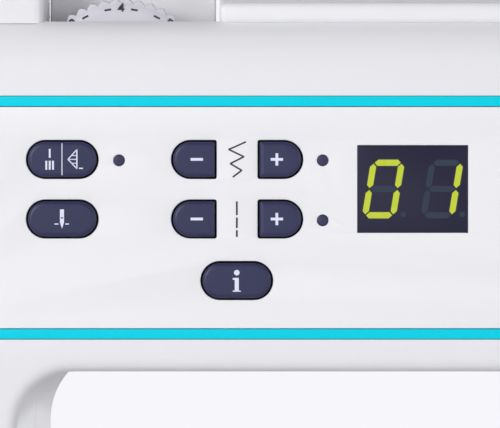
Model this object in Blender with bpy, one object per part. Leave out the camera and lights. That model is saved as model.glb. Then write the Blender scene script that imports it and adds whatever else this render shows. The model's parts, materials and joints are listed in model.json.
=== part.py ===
"""Computerised household sewing machine, built as separate pieces.

Frame: metres, +Z up, X to the right seen from the front, the front faces -Y.
The origin is on the table, under the middle of the machine's box.
"""
from math import copysign, cos, pi, radians, sin

import bmesh
import bpy
from mathutils import Matrix, Vector

MM = 0.001
GAP = 0.3 * MM               # gap between pieces that touch
RUNNING = 0.5 * MM           # gap round pieces that turn or slide

# overall sizes
PILLAR_RIGHT = 176 * MM      # right side of the casing
WHEEL_RIGHT = PILLAR_RIGHT + 24 * MM       # outer face of the handwheel
BASE_FRONT = -78 * MM
BASE_BACK = 78 * MM
CASING_FRONT = -60 * MM
CASING_BACK = 45 * MM
SEAM = -8 * MM               # plane where the two casing halves meet

# heights
FOOT_HEIGHT = 6 * MM
BASE_PLATE = 9 * MM          # thickness of the base plate
BED_TOP = 72 * MM
HEAD_BOTTOM = BED_TOP + 50 * MM
ARM_BOTTOM = BED_TOP + 115 * MM
CASING_TOP = ARM_BOTTOM + 78 * MM
LID_TOP = CASING_TOP + 21 * MM

# arm, head and pillar
HARP_LEFT = -98 * MM         # right wall of the head
HARP_RIGHT = 32 * MM         # left wall of the pillar
HEAD_LEFT = HARP_LEFT - 94 * MM
WALL = 3 * MM
HARP_CORNER = 12.3 * MM
TOP_CORNER = 16 * MM
HEAD_CORNER = 6 * MM
FOOT_CORNER = 1.5 * MM
HARP_ROUND = 3 * MM          # round-over of the edges round the harp
BACK_ROUND = 10 * MM

# free arm
FREE_ARM_LEFT = HARP_LEFT - 82 * MM
FREE_ARM_FRONT = CASING_FRONT + 10 * MM
FREE_ARM_BACK = CASING_BACK - 10 * MM
FREE_ARM_BOTTOM = BED_TOP - 34 * MM
LEFT = FREE_ARM_LEFT - 20 * MM          # left end of the accessory tray
SHELL = 2.5 * MM             # wall of the bed, free arm, tray and lid mouldings

# control panel, measured from the harp's left wall and the arm's underside
PANEL_LEFT = HARP_LEFT - 24 * MM
PANEL_RIGHT = PILLAR_RIGHT - 10 * MM
PANEL_THICK = 1.8 * MM
STRIPE = 2.2 * MM
LOWER_STRIPE = ARM_BOTTOM + 7.3 * MM
UPPER_STRIPE = ARM_BOTTOM + 60.7 * MM
BUTTON_WIDTH = 15.1 * MM
BUTTON_HEIGHT = 7.7 * MM
HALF_BUTTON = 9.15 * MM
BUTTON_GAP = 0.45 * MM        # gap round each button in its hole
BUTTON_PROUD = 0.9 * MM
BUTTON_DEEP = 8 * MM
BUTTON_TRAVEL = 1 * MM
COLUMN_LEFT = HARP_LEFT + 10 * MM
COLUMN_MINUS = HARP_LEFT + 38.95 * MM
COLUMN_PLUS = HARP_LEFT + 58 * MM
COLUMN_INFO = HARP_LEFT + 48.4 * MM
ROW_WIDTH = ARM_BOTTOM + 46.8 * MM
ROW_LENGTH = ARM_BOTTOM + 33.7 * MM
ROW_INFO = ARM_BOTTOM + 20.15 * MM
LENS_RADIUS = 1.22 * MM
LENS_LEFT = HARP_LEFT + 22.5 * MM
LENS_RIGHT = HARP_LEFT + 67.3 * MM
WINDOW_X = HARP_LEFT + 87.1 * MM
WINDOW_Z = ARM_BOTTOM + 40.3 * MM
WINDOW_WIDTH = 24.2 * MM
WINDOW_HEIGHT = 19.1 * MM
BOARD_THICK = 1.6 * MM

# tension dial and top cover
DIAL_X = HARP_LEFT + 22.4 * MM
DIAL_Z = ARM_BOTTOM + 62.8 * MM
DIAL_RADIUS = 20.5 * MM
DIAL_FRONT = CASING_FRONT + 11.2 * MM
DIAL_THICK = 9 * MM
BLOCK_RIGHT = HARP_LEFT + 5.3 * MM
LID_LEFT = HARP_LEFT + 44.5 * MM
RIM = 8 * MM                 # width of the casing's rim round the top opening
LID_LIP = 3.3 * MM

# drive
SHAFT_Y = 12 * MM
SHAFT_Z = ARM_BOTTOM + 31 * MM
SHAFT_RADIUS = 4 * MM
LOWER_Z = BED_TOP - 18 * MM
WHEEL_RADIUS = 31 * MM
BIG_PULLEY = 24 * MM
SMALL_PULLEY = 8 * MM
TIMING_PULLEY = 9 * MM
BELT = 1.6 * MM
BELT_X = PILLAR_RIGHT - 26 * MM
BELT_WIDTH = 8 * MM
TIMING_X = HARP_RIGHT + 28 * MM
MOTOR_X = PILLAR_RIGHT - 64 * MM
MOTOR_Z = SHAFT_Z - 98 * MM
MOTOR_HALF = 22 * MM
MOTOR_RADIUS = 18 * MM
MOTOR_STUB = 3 * MM

# stitching
NEEDLE_X = HARP_LEFT - 40 * MM
NEEDLE_Y = -10 * MM
NEEDLE_TIP = BED_TOP + 10 * MM
NEEDLE_BAR = 3.2 * MM
PRESSER_Y = NEEDLE_Y + 17 * MM
PRESSER_BAR = 3 * MM
HOOK_Y = NEEDLE_Y - 19.5 * MM
HOOK_RADIUS = 15.5 * MM
BOBBIN_RADIUS = 10 * MM
PLATE_THICK = 1.5 * MM


def material(name, colour, roughness=0.4, metallic=0.0):
    mat = bpy.data.materials.new(name)
    mat.use_nodes = True
    shader = mat.node_tree.nodes["Principled BSDF"]
    shader.inputs["Base Color"].default_value = (*colour, 1)
    shader.inputs["Roughness"].default_value = roughness
    shader.inputs["Metallic"].default_value = metallic
    return mat


def finish(bm, name, look, pivot=(0, 0, 0), smooth=False):
    """Turn a bmesh in world places into an object whose origin is its pivot."""
    bmesh.ops.recalc_face_normals(bm, faces=bm.faces)
    bmesh.ops.translate(bm, vec=-Vector(pivot), verts=bm.verts)
    mesh = bpy.data.meshes.new(name)
    bm.to_mesh(mesh)
    bm.free()
    if smooth:
        mesh.shade_smooth()
        mesh.set_sharp_from_angle(angle=radians(35))
    obj = bpy.data.objects.new(name, mesh)
    obj.location = pivot
    bpy.context.collection.objects.link(obj)
    if look:
        mesh.materials.append(look)
    return obj


def block(name, look, low, high, edge=0, pivot=(0, 0, 0), steps=2):
    """A box between two corners, with rounded edges when edge isn't 0."""
    bm = bmesh.new()
    size = Vector(high) - Vector(low)
    middle = (Vector(high) + Vector(low)) / 2
    bmesh.ops.create_cube(bm, size=1)
    bmesh.ops.scale(bm, vec=size, verts=bm.verts)
    bmesh.ops.translate(bm, vec=middle, verts=bm.verts)
    if edge:
        bmesh.ops.bevel(bm, geom=bm.edges, offset=edge, segments=steps, affect="EDGES", profile=0.5)
    return finish(bm, name, look, pivot, smooth=bool(edge))


AXES = {"X": Matrix.Rotation(pi / 2, 4, "Y"), "Y": Matrix.Rotation(-pi / 2, 4, "X"), "Z": Matrix.Identity(4)}


def turned(name, look, profile, axis, start, sides=32, pivot=None):
    """Turn a closed (radius, distance) outline round an axis that leaves start."""
    bm = bmesh.new()
    rings = []
    for radius, along in profile:
        if radius == 0:
            rings.append([bm.verts.new((0, 0, along))])
            continue
        angles = [2 * pi * step / sides for step in range(sides)]
        rings.append([bm.verts.new((radius * cos(a), radius * sin(a), along)) for a in angles])
    closed = profile[0][0] > 0
    pairs = list(zip(rings, rings[1:])) + ([(rings[-1], rings[0])] if closed else [])
    for lower, upper in pairs:
        for step in range(sides):
            after = (step + 1) % sides
            corners = [lower[step % len(lower)], lower[after % len(lower)]]
            corners += [upper[after % len(upper)], upper[step % len(upper)]]
            face = list(dict.fromkeys(corners))
            if len(face) > 2:
                bm.faces.new(face)
    bm.transform(Matrix.Translation(start) @ AXES[axis])
    return finish(bm, name, look, pivot if pivot else start, smooth=True)


def rod(name, look, axis, start, length, radius, sides=24, pivot=None, chamfer=0):
    profile = [(0, 0), (radius - chamfer, 0), (radius, chamfer)]
    profile += [(radius, length - chamfer), (radius - chamfer, length), (0, length)]
    if not chamfer:
        profile = [(0, 0), (radius, 0), (radius, length), (0, length)]
    return turned(name, look, profile, axis, start, sides, pivot)


def arc(centre, radius, first, last, steps):
    """Points on an arc in a plane, angles in degrees."""
    turns = [radians(first + (last - first) * step / steps) for step in range(steps + 1)]
    return [(centre[0] + radius * cos(t), centre[1] + radius * sin(t)) for t in turns]


def prism(name, look, points, low, high, edge=0, plane="XZ", pivot=(0, 0, 0), rim_only=None):
    """Extrude an outline between two depths; the outline lies in the named plane."""
    bm = bmesh.new()

    def place(a, b, depth):
        return {"XZ": (a, depth, b), "XY": (a, b, depth), "YZ": (depth, a, b)}[plane]

    near = [bm.verts.new(place(a, b, low)) for a, b in points]
    far = [bm.verts.new(place(a, b, high)) for a, b in points]
    first = bm.faces.new(near)
    second = bm.faces.new(list(reversed(far)))
    for i in range(len(near)):
        j = (i + 1) % len(near)
        bm.faces.new((near[j], near[i], far[i], far[j]))
    if edge:
        rims = {"low": list(first.edges), "high": list(second.edges)}
        geom = rims[rim_only] if rim_only else rims["low"] + rims["high"]
        bmesh.ops.bevel(bm, geom=geom, offset=edge, segments=3, affect="EDGES", profile=0.5)
    return finish(bm, name, look, pivot, smooth=True)


def capsule(x, z, width, height, left_radius, right_radius, grow=0.0):
    """Outline with a left and a right pair of corner radii; grow widens it evenly."""
    half_w = width / 2 + grow
    half_h = height / 2 + grow
    left = min(left_radius + grow, half_h)
    right = min(right_radius + grow, half_h)
    points = arc((x + half_w - right, z + half_h - right), right, 0, 90, 6)
    points += arc((x - half_w + left, z + half_h - left), left, 90, 180, 6)
    points += arc((x - half_w + left, z - half_h + left), left, 180, 270, 6)
    points += arc((x + half_w - right, z - half_h + right), right, 270, 360, 6)
    kept = []
    for point in points:
        if not kept or (Vector(point) - Vector(kept[-1])).length > 0.02 * MM:
            kept.append(point)
    if (Vector(kept[0]) - Vector(kept[-1])).length < 0.02 * MM:
        kept.pop()
    return kept


def as_cutter(obj):
    obj.hide_render = True
    obj.display_type = "WIRE"
    obj.data.materials.clear()
    return obj


def boolean(obj, other, operation):
    mod = obj.modifiers.new(f"{operation.lower()} {other.name}", "BOOLEAN")
    mod.operation = operation
    mod.solver = "EXACT"
    mod.object = as_cutter(other)
    return obj


def cut(obj, *cutters):
    for cutter in cutters:
        boolean(obj, cutter, "DIFFERENCE")
    return obj


def join(obj, *pieces):
    for piece in pieces:
        boolean(obj, piece, "UNION")
    return obj


# ---------------------------------------------------------------- casing

TOP_INSET = 13 * MM          # height of the front's upper round-over
HARP_CORNER_BACK = 18 * MM   # the harp's corners grow wider towards the back
ARC_STEPS = 4
OPENING_FRONT = CASING_FRONT + RIM
OPENING_BACK = CASING_BACK - RIM - 4 * MM
OPENING_LEFT = HEAD_LEFT + RIM + 4 * MM
OPENING_RIGHT = PILLAR_RIGHT - RIM - 4 * MM
SLOT_LOW = ARM_BOTTOM - 11 * MM          # take-up lever's slot in the head
SLOT_HIGH = ARM_BOTTOM + 51 * MM
REVERSE_X = HARP_LEFT - 22 * MM
REVERSE_Z = HEAD_BOTTOM + 40 * MM
LIFTER_X = HARP_LEFT - 22 * MM
LIFTER_Z = HEAD_BOTTOM + 26 * MM
LIFTER_HUB = 5 * MM
HEAD_MOUTH = 26 * MM          # half width of the opening under the head


def casing_outline(top, side, harp, foot, harp_corner):
    """The C-shaped front view, each kind of edge moved in by its own amount."""
    corners = [
        (HEAD_LEFT + side, HEAD_BOTTOM + harp, HEAD_CORNER, 180, 270, (side + harp) / 2),
        (HARP_LEFT - harp, HEAD_BOTTOM + harp, HEAD_CORNER, 270, 360, harp),
        (HARP_LEFT - harp, ARM_BOTTOM + harp, harp_corner, 180, 90, -harp),
        (HARP_RIGHT + harp, ARM_BOTTOM + harp, harp_corner, 90, 0, -harp),
        (HARP_RIGHT + harp, BED_TOP + GAP + foot, FOOT_CORNER, 180, 270, foot),
        (PILLAR_RIGHT - side, BED_TOP + GAP + foot, FOOT_CORNER, 270, 360, foot),
        (PILLAR_RIGHT - side, CASING_TOP - top, TOP_CORNER, 0, 90, (side + top) / 2),
        (HEAD_LEFT + side, CASING_TOP - top, TOP_CORNER, 90, 180, (side + top) / 2),
    ]
    points = []
    for x, z, radius, first, last, inset in corners:
        radius = max(radius - inset, 0.8 * MM)
        middle = radians((first + last) / 2)
        centre = (x - copysign(radius, cos(middle)), z - copysign(radius, sin(middle)))
        points += arc(centre, radius, first, last, ARC_STEPS)
    return points


def round_over(distance, depth, height):
    """How far a rounded edge has moved in at a distance behind its face."""
    if distance >= depth:
        return 0.0
    return height * (1 - (1 - (1 - max(distance, 0) / depth) ** 2) ** 0.5)


def casing_half(name, look, face, towards, top_round, top_inset):
    """One half of the casing: outer rings, inner rings and the seam between them."""
    depth = abs(SEAM - face) - GAP / 2

    def ring(bm, distance, wall):
        shrink = wall
        behind = distance - wall
        top = wall + round_over(behind, top_round - wall, top_inset - wall)
        harp = wall + round_over(behind, HARP_ROUND, HARP_ROUND - (0.8 * MM if wall else 0))
        side = wall + round_over(behind, top_round - wall, top_round - wall)
        share = 1 - distance / depth if towards < 0 else 0
        corner = HARP_CORNER + share * (HARP_CORNER_BACK - HARP_CORNER)
        y = face + towards * distance
        return [bm.verts.new((x, y, z)) for x, z in casing_outline(top, side, harp, shrink, corner)]

    bm = bmesh.new()
    inner = [depth, top_round, (top_round + WALL) / 2, WALL]
    outer = [0, 0.4 * MM, 1.5 * MM, 4 * MM, 7 * MM, top_round, depth]
    rings = [ring(bm, distance, WALL) for distance in reversed(inner)]
    rings += [ring(bm, distance, 0) for distance in reversed(outer)]
    for near, far in zip(rings, rings[1:]):
        for i in range(len(near)):
            j = (i + 1) % len(near)
            bm.faces.new((near[i], near[j], far[j], far[i]))
    bm.faces.new(rings[0])
    bm.faces.new(rings[-1])
    return finish(bm, name, look, smooth=True)


def cutter_box(name, low, high, edge=0):
    return block(f"cut {name}", None, low, high, edge)


def make_front_casing(look):
    obj = casing_half("front_casing", look, CASING_FRONT, 1, 10 * MM, TOP_INSET)
    front = CASING_FRONT - 1 * MM
    seat = CASING_FRONT + PANEL_THICK + GAP
    window = 4 * MM
    top = UPPER_STRIPE + GAP
    low = LOWER_STRIPE - GAP
    cut(obj, cutter_box("take-up slot", (NEEDLE_X - 3 * MM, front, SLOT_LOW),
                        (NEEDLE_X + 3 * MM, CASING_FRONT + WALL + 6 * MM, SLOT_HIGH)))
    cut(obj, cutter_box("front top", (OPENING_LEFT, OPENING_FRONT, CASING_TOP - 16 * MM),
                        (OPENING_RIGHT, SEAM + 1 * MM, CASING_TOP + 1 * MM)))
    hole = capsule(REVERSE_X, REVERSE_Z, 18 * MM, 10 * MM, 5 * MM, 5 * MM, RUNNING)
    cut(obj, as_cutter(prism("cut reverse", None, hole, front, CASING_FRONT + WALL + 4 * MM)))
    cut(obj, cutter_box("front head floor", (NEEDLE_X - HEAD_MOUTH, CASING_FRONT + 22 * MM,
                                             HEAD_BOTTOM - 1 * MM),
                        (NEEDLE_X + HEAD_MOUTH, SEAM + 1 * MM, HEAD_BOTTOM + 8 * MM)))
    cut(obj, cutter_box("front belt way", (TIMING_X - 12 * MM, SEAM - 4 * MM, BED_TOP - 1 * MM),
                        (TIMING_X + 12 * MM, SEAM + 1 * MM, BED_TOP + 8 * MM)))
    cut(obj, cutter_box("panel seat", (PANEL_LEFT - GAP, front, low), (PANEL_RIGHT + GAP, seat, top)))
    cut(obj, cutter_box("panel window", (PANEL_LEFT + window, front, low + window),
                        (PANEL_RIGHT - window, seat + 4 * MM, top - window)))
    return obj


def make_rear_casing(look):
    obj = casing_half("rear_casing", look, CASING_BACK, -1, BACK_ROUND, BACK_ROUND)
    cut(obj, cutter_box("rear top", (OPENING_LEFT, SEAM - 1 * MM, CASING_TOP - 16 * MM),
                        (OPENING_RIGHT, OPENING_BACK, CASING_TOP + 1 * MM)))
    cut(obj, cutter_box("rear head floor", (NEEDLE_X - HEAD_MOUTH, SEAM - 1 * MM, HEAD_BOTTOM - 1 * MM),
                        (NEEDLE_X + HEAD_MOUTH, PRESSER_Y + 14 * MM, HEAD_BOTTOM + 8 * MM)))
    cut(obj, cutter_box("rear belt way", (TIMING_X - 12 * MM, SEAM - 1 * MM, BED_TOP - 1 * MM),
                        (TIMING_X + 12 * MM, SHAFT_Y + 16 * MM, BED_TOP + 8 * MM)))
    hole = SHAFT_RADIUS + RUNNING
    cut(obj, rod("cut shaft", None, "X", (PILLAR_RIGHT - 12 * MM, SHAFT_Y, SHAFT_Z), 20 * MM, hole))
    cut(obj, rod("cut lifter", None, "Y", (LIFTER_X, CASING_BACK - 12 * MM, LIFTER_Z), 20 * MM,
                 LIFTER_HUB + RUNNING))
    return obj


# ---------------------------------------------------------------- top of the arm

COVER_BOTTOM = CASING_TOP - 18 * MM
LID_FRONT = OPENING_FRONT - 2 * MM
LID_BACK = OPENING_BACK + 2 * MM
LID_RIGHT = OPENING_RIGHT + 2 * MM
LID_BASE = CASING_TOP + GAP
LID_HINGE_Z = LID_BASE - 0.1 * MM


SCREEN_Y = -35 * MM           # wall behind the dial
SPOOL_Y = 4 * MM
SPOOL_Z = CASING_TOP + 4 * MM
SPOOL_POST_RIGHT = OPENING_RIGHT - 14 * MM
SPOOL_POST_LEFT = SPOOL_POST_RIGHT - 6 * MM
WINDER_X = LID_LEFT - 16 * MM
WINDER_Y = 14 * MM
WINDER_HEIGHT = 29 * MM
WINDER_PIN = 2.8 * MM
WINDER_FLANGE = 7 * MM
WINDER_STOP_GAP = 18 * MM
WINDER_STOP_HEIGHT = 26 * MM


def make_top_cover(look):
    """Deep tray that closes the casing's top, with the spool post and the winder's stop."""
    low = (OPENING_LEFT + GAP, OPENING_FRONT + GAP, COVER_BOTTOM)
    high = (OPENING_RIGHT - GAP, OPENING_BACK - GAP, CASING_TOP - 0.6 * MM)
    obj = block("top_cover", look, low, high)
    inside_low = (low[0] + SHELL, low[1] + SHELL, low[2] + SHELL)
    inside_high = (high[0] - SHELL, high[1] - SHELL, high[2] + 1 * MM)
    cut(obj, cutter_box("top bay", inside_low, inside_high))
    cut(obj, cutter_box("dial slot", (DIAL_X - DIAL_RADIUS - 1 * MM, low[1] + SHELL, COVER_BOTTOM - 1 * MM),
                        (DIAL_X + DIAL_RADIUS + 1 * MM, DIAL_FRONT + DIAL_THICK + 1 * MM,
                         inside_low[2] + 1 * MM)))
    floor = inside_low[2] - 0.5 * MM
    post = block("spool post", None, (SPOOL_POST_LEFT, SPOOL_Y - 7 * MM, floor),
                 (SPOOL_POST_RIGHT, SPOOL_Y + 7 * MM, SPOOL_Z + 7 * MM), 1 * MM)
    stop_at = (WINDER_X - WINDER_STOP_GAP, WINDER_Y, floor)
    stop = rod("winder stop", None, "Z", stop_at, WINDER_STOP_HEIGHT, 4 * MM, 20, chamfer=0.8 * MM)
    screen = block("dial screen", None, (BLOCK_RIGHT + GAP, SCREEN_Y, floor),
                   (LID_LEFT - 1 * MM, SCREEN_Y + SHELL, LID_TOP - 2 * MM), 0.8 * MM)
    return join(obj, post, stop, screen)


def make_thread_block(look):
    """Raised left block of the top, which guides the thread down to the needle."""
    low = (OPENING_LEFT - 2 * MM, LID_FRONT, LID_BASE)
    high = (BLOCK_RIGHT, LID_BACK, LID_TOP)
    obj = block("thread_guide_cover", look, low, high, 2.5 * MM, steps=3)
    inner = 3 * MM
    cut(obj, cutter_box("block hollow", (low[0] + inner, low[1] + inner, low[2] - 1 * MM),
                        (high[0] - inner, high[1] - inner, high[2] - inner)))
    cut(obj, cutter_box("thread slot", (NEEDLE_X + 7 * MM, low[1] - 1 * MM, low[2] - 1 * MM),
                        (NEEDLE_X + 9.5 * MM, LID_FRONT + 30 * MM, high[2] + 1 * MM)))
    return obj


def lid_outline(wall):
    """Side view of the lid, from its front lip over the crown to the hinge."""
    front = LID_FRONT + wall
    back = LID_BACK - wall
    top = LID_TOP - wall
    crown = 14 * MM - wall
    start = LID_BASE - (1 * MM if wall else 0)
    points = [(front, start), (back, start)]
    points += arc((back - crown, top - crown), crown, 0, 90, 5)
    points += [(LID_FRONT + 26 * MM, top)]
    points += arc((LID_FRONT + 26 * MM, top - crown), crown, 95, 160, 4)
    lip_top = LID_BASE + LID_LIP
    points += [(LID_FRONT + 8 * MM, lip_top + 2 * MM - wall), (front, lip_top - wall * 0.4)]
    return points


def make_top_lid(look):
    pivot = (0, LID_BACK, LID_HINGE_Z)
    obj = prism("top_lid", look, lid_outline(0), LID_LEFT, LID_RIGHT, plane="YZ", pivot=pivot)
    cut(obj, prism("cut lid", None, lid_outline(SHELL), LID_LEFT + SHELL, LID_RIGHT - SHELL, plane="YZ"))
    return obj


def make_tension_dial(look):
    """Numbered wheel with a toothed rim that stands out of the top cover."""
    teeth = 40
    points = []
    for step in range(2 * teeth):
        turn = pi * step / teeth
        radius = DIAL_RADIUS - (0.9 * MM if step % 2 else 0)
        points.append((DIAL_X + radius * cos(turn), DIAL_Z + radius * sin(turn)))
    pivot = (DIAL_X, DIAL_FRONT, DIAL_Z)
    obj = prism("tension_dial", look, points, DIAL_FRONT + 1.2 * MM, DIAL_FRONT + DIAL_THICK, pivot=pivot)
    face = rod("dial face", None, "Y", pivot, 3 * MM, DIAL_RADIUS - 1.4 * MM, 40, chamfer=0.6 * MM)
    return join(obj, face)


def make_spool_parts(plastic, metal):
    length = 84 * MM
    pin_start = (SPOOL_POST_LEFT - GAP - length, SPOOL_Y, SPOOL_Z)
    rod("spool_pin", metal, "X", pin_start, length, 2.6 * MM, 16, chamfer=0.6 * MM)
    bore = 2.6 * MM + GAP
    rim = 12 * MM
    profile = [(bore, 0), (6 * MM, 0), (rim, 3 * MM), (rim, 5 * MM), (7 * MM, 7 * MM), (bore, 7 * MM)]
    turned("spool_cap", plastic, profile, "X", (pin_start[0] + 6 * MM, SPOOL_Y, SPOOL_Z), 20)


def make_winder(metal):
    base = COVER_BOTTOM + SHELL + GAP
    flange = WINDER_FLANGE
    pin = WINDER_PIN
    top = WINDER_HEIGHT
    profile = [(0, 0), (flange, 0), (flange, 2 * MM), (pin, 2.4 * MM)]
    profile += [(pin, top - 2 * MM), (pin - 0.8 * MM, top), (0, top)]
    turned("winder_spindle", metal, profile, "Z", (WINDER_X, WINDER_Y, base), 20)


HANDLE_Y = CASING_BACK + 4.5 * MM
HANDLE_Z = CASING_TOP - 17 * MM
HANDLE_HALF = 62 * MM
HANDLE_REACH = 42 * MM
HANDLE_BAR = 8 * MM
HANDLE_EAR = 2 * MM           # the legs reach this far past their pivots
HANDLE_LEG = 10 * MM
HANDLE_LEG_INNER = 15 * MM    # where the opening's lower corners start
HANDLE_BAR_TOP = 11 * MM
HANDLE_EDGE = 1.2 * MM


def make_carry_handle(look):
    """Bail behind the arm: two legs on pivots and a grip bar."""
    half = HANDLE_HALF
    thick = HANDLE_BAR / 2
    pivot = (0, HANDLE_Y, HANDLE_Z)
    low = HANDLE_Z - HANDLE_REACH
    outer = [(-half, HANDLE_Z + HANDLE_EAR), (-half, low + HANDLE_LEG)]
    outer += arc((-half + HANDLE_LEG, low + HANDLE_LEG), HANDLE_LEG, 195, 270, 4)
    outer += arc((half - HANDLE_LEG, low + HANDLE_LEG), HANDLE_LEG, 270, 345, 4)
    outer += [(half, low + HANDLE_LEG), (half, HANDLE_Z + HANDLE_EAR), (half - HANDLE_LEG,
                                                                        HANDLE_Z + HANDLE_EAR)]
    outer += [(half - HANDLE_LEG, low + HANDLE_LEG_INNER), (half - HANDLE_LEG_INNER, low + HANDLE_BAR_TOP)]
    outer += [(-half + HANDLE_LEG_INNER, low + HANDLE_BAR_TOP), (-half + HANDLE_LEG, low + HANDLE_LEG_INNER)]
    outer += [(-half + HANDLE_LEG, HANDLE_Z + HANDLE_EAR)]
    near = HANDLE_Y - thick + 0.5 * MM
    return prism("carry_handle", look, outer, near, HANDLE_Y + thick, HANDLE_EDGE, pivot=pivot)


# ---------------------------------------------------------------- control panel

BUTTONS = {
    "pattern_button": (COLUMN_LEFT, ROW_WIDTH, "pill"),
    "needle_position_button": (COLUMN_LEFT, ROW_LENGTH, "pill"),
    "width_minus_button": (COLUMN_MINUS, ROW_WIDTH, "left"),
    "width_plus_button": (COLUMN_PLUS, ROW_WIDTH, "right"),
    "length_minus_button": (COLUMN_MINUS, ROW_LENGTH, "left"),
    "length_plus_button": (COLUMN_PLUS, ROW_LENGTH, "right"),
    "information_button": (COLUMN_INFO, ROW_INFO, "pill"),
}
LENSES = {
    "pattern_lens": (LENS_LEFT, ROW_WIDTH - 0.2 * MM),
    "width_lens": (LENS_RIGHT, ROW_WIDTH - 0.2 * MM),
    "length_lens": (LENS_RIGHT, ROW_LENGTH - 0.3 * MM),
}


def button_outline(x, z, shape, grow=0.0):
    half = BUTTON_HEIGHT / 2
    small = 0.9 * MM
    width = BUTTON_WIDTH if shape == "pill" else HALF_BUTTON
    left = small if shape == "right" else half
    right = small if shape == "left" else half
    return capsule(x, z, width, BUTTON_HEIGHT, left, right, grow)


def make_front_panel(look):
    front = CASING_FRONT
    low = (PANEL_LEFT, front, LOWER_STRIPE + STRIPE + GAP / 2)
    high = (PANEL_RIGHT, front + PANEL_THICK, UPPER_STRIPE - STRIPE - GAP / 2)
    obj = block("front_panel", look, low, high)
    for name, (x, z, shape) in BUTTONS.items():
        hole = button_outline(x, z, shape, BUTTON_GAP)
        cut(obj, prism(f"cut {name}", None, hole, front - 1 * MM, front + PANEL_THICK + 1 * MM))
    for name, (x, z) in LENSES.items():
        cut(obj, rod(f"cut {name}", None, "Y", (x, front - 1 * MM, z), 5 * MM, LENS_RADIUS + GAP / 2, 20))
    half_w = WINDOW_WIDTH / 2 + GAP / 2
    half_h = WINDOW_HEIGHT / 2 + GAP / 2
    cut(obj, cutter_box("display", (WINDOW_X - half_w, front - 1 * MM, WINDOW_Z - half_h),
                        (WINDOW_X + half_w, front + PANEL_THICK + 1 * MM, WINDOW_Z + half_h)))
    return obj


def make_stripe(name, look, low_z):
    high = (PANEL_RIGHT, CASING_FRONT + PANEL_THICK, low_z + STRIPE - GAP / 2)
    return block(name, look, (PANEL_LEFT, CASING_FRONT, low_z + GAP / 2), high)


def make_buttons(look):
    front = CASING_FRONT - BUTTON_PROUD
    for name, (x, z, shape) in BUTTONS.items():
        outline = button_outline(x, z, shape)
        prism(name, look, outline, front, front + BUTTON_DEEP, 0.4 * MM, pivot=(x, front, z), rim_only="low")


def make_lenses(look):
    for name, (x, z) in LENSES.items():
        rod(name, look, "Y", (x, CASING_FRONT, z), PANEL_THICK + 1 * MM, LENS_RADIUS, 20)


def make_display(module_look, board_look):
    """Two-digit LED module whose front window is flush with the panel, on its board."""
    half_w = WINDOW_WIDTH / 2
    half_h = WINDOW_HEIGHT / 2
    board_y = CASING_FRONT - BUTTON_PROUD + BUTTON_DEEP + BUTTON_TRAVEL + GAP
    block("display_module", module_look, (WINDOW_X - half_w, CASING_FRONT, WINDOW_Z - half_h),
          (WINDOW_X + half_w, board_y - GAP, WINDOW_Z + half_h))
    block("control_board", board_look, (HARP_LEFT - 8 * MM, board_y, ARM_BOTTOM + 14 * MM),
          (WINDOW_X + 26 * MM, board_y + BOARD_THICK, UPPER_STRIPE - 6 * MM))


def make_reverse_button(look):
    outline = capsule(REVERSE_X, REVERSE_Z, 18 * MM, 10 * MM, 5 * MM, 5 * MM)
    front = CASING_FRONT - 2.2 * MM
    pivot = (REVERSE_X, front, REVERSE_Z)
    return prism("reverse_button", look, outline, front, front + 10 * MM, 1 * MM, pivot=pivot, rim_only="low")


# ---------------------------------------------------------------- bed

BASE_LEFT = HARP_RIGHT - 2 * MM
BASE_BOTTOM = FOOT_HEIGHT + BASE_PLATE
SOCKET_Z = 34 * MM
INLET_Y = 30 * MM
SWITCH_Y = -6 * MM
JACK_Y = -42 * MM
INLET_WIDTH = 24 * MM
INLET_HEIGHT = 17 * MM
SWITCH_WIDTH = 13 * MM
SWITCH_HEIGHT = 20 * MM
JACK_RADIUS = 7 * MM
SOCKET_REACH = 6 * MM         # depth of each opening cut into the right wall
TOP_OF_BASE = BED_TOP - 0.05 * MM
FOOT_RADIUS = 9 * MM
FOOT_EDGE = 1.2 * MM
FOOT_LEFT = FREE_ARM_LEFT + 30 * MM
FOOT_RIGHT = PILLAR_RIGHT - 18 * MM
FOOT_SPREAD = 38 * MM         # feet stand this far in front of and behind the middle
SOLE_LEFT = FREE_ARM_LEFT + 12 * MM
SOLE_FRONT = FREE_ARM_FRONT - 5 * MM
SOLE_INSET = 3 * MM           # the base plate stands back this far from the housing
SOLE_STEP = 15 * MM           # and further under the free arm
SOLE_CORNER = 10 * MM
SOLE_EDGE = 1.5 * MM
CASING_EDGE = 2.2 * MM        # rolled edges of the bed mouldings
MOUTH_INSET = 4 * MM
BELT_WAY = 13 * MM            # half width of the timing belt's opening
OVERCUT = 1 * MM              # how far a cutter stands past the face it cuts


def make_feet(look):
    xs = (FOOT_LEFT, FOOT_RIGHT)
    ys = (-FOOT_SPREAD, FOOT_SPREAD)
    names = ("foot_left_front", "foot_left_back", "foot_right_front", "foot_right_back")
    places = [(x, y) for x in xs for y in ys]
    for name, (x, y) in zip(names, places):
        rod(name, look, "Z", (x, y, 0), FOOT_HEIGHT - GAP, FOOT_RADIUS, 24, chamfer=FOOT_EDGE)


def make_base_plate(look):
    """Low plate under the whole machine; it reaches out below the free arm."""
    edge = SOLE_CORNER
    right = PILLAR_RIGHT - 1 * MM
    front = BASE_FRONT + SOLE_INSET
    back = BASE_BACK - SOLE_INSET
    arm_back = back - SOLE_STEP
    slant = BASE_LEFT + 8 * MM
    points = arc((right - edge, back - edge), edge, 0, 90, 4)
    points += [(slant, back), (BASE_LEFT, arm_back)]
    points += arc((SOLE_LEFT + edge, arm_back - edge), edge, 90, 180, 4)
    points += arc((SOLE_LEFT + edge, SOLE_FRONT + edge), edge, 180, 270, 4)
    points += [(BASE_LEFT, SOLE_FRONT), (slant, front)]
    points += arc((right - edge, front + edge), edge, 270, 360, 4)
    return prism("base_plate", look, points, FOOT_HEIGHT, BASE_BOTTOM, SOLE_EDGE, plane="XY", rim_only="low")


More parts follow.
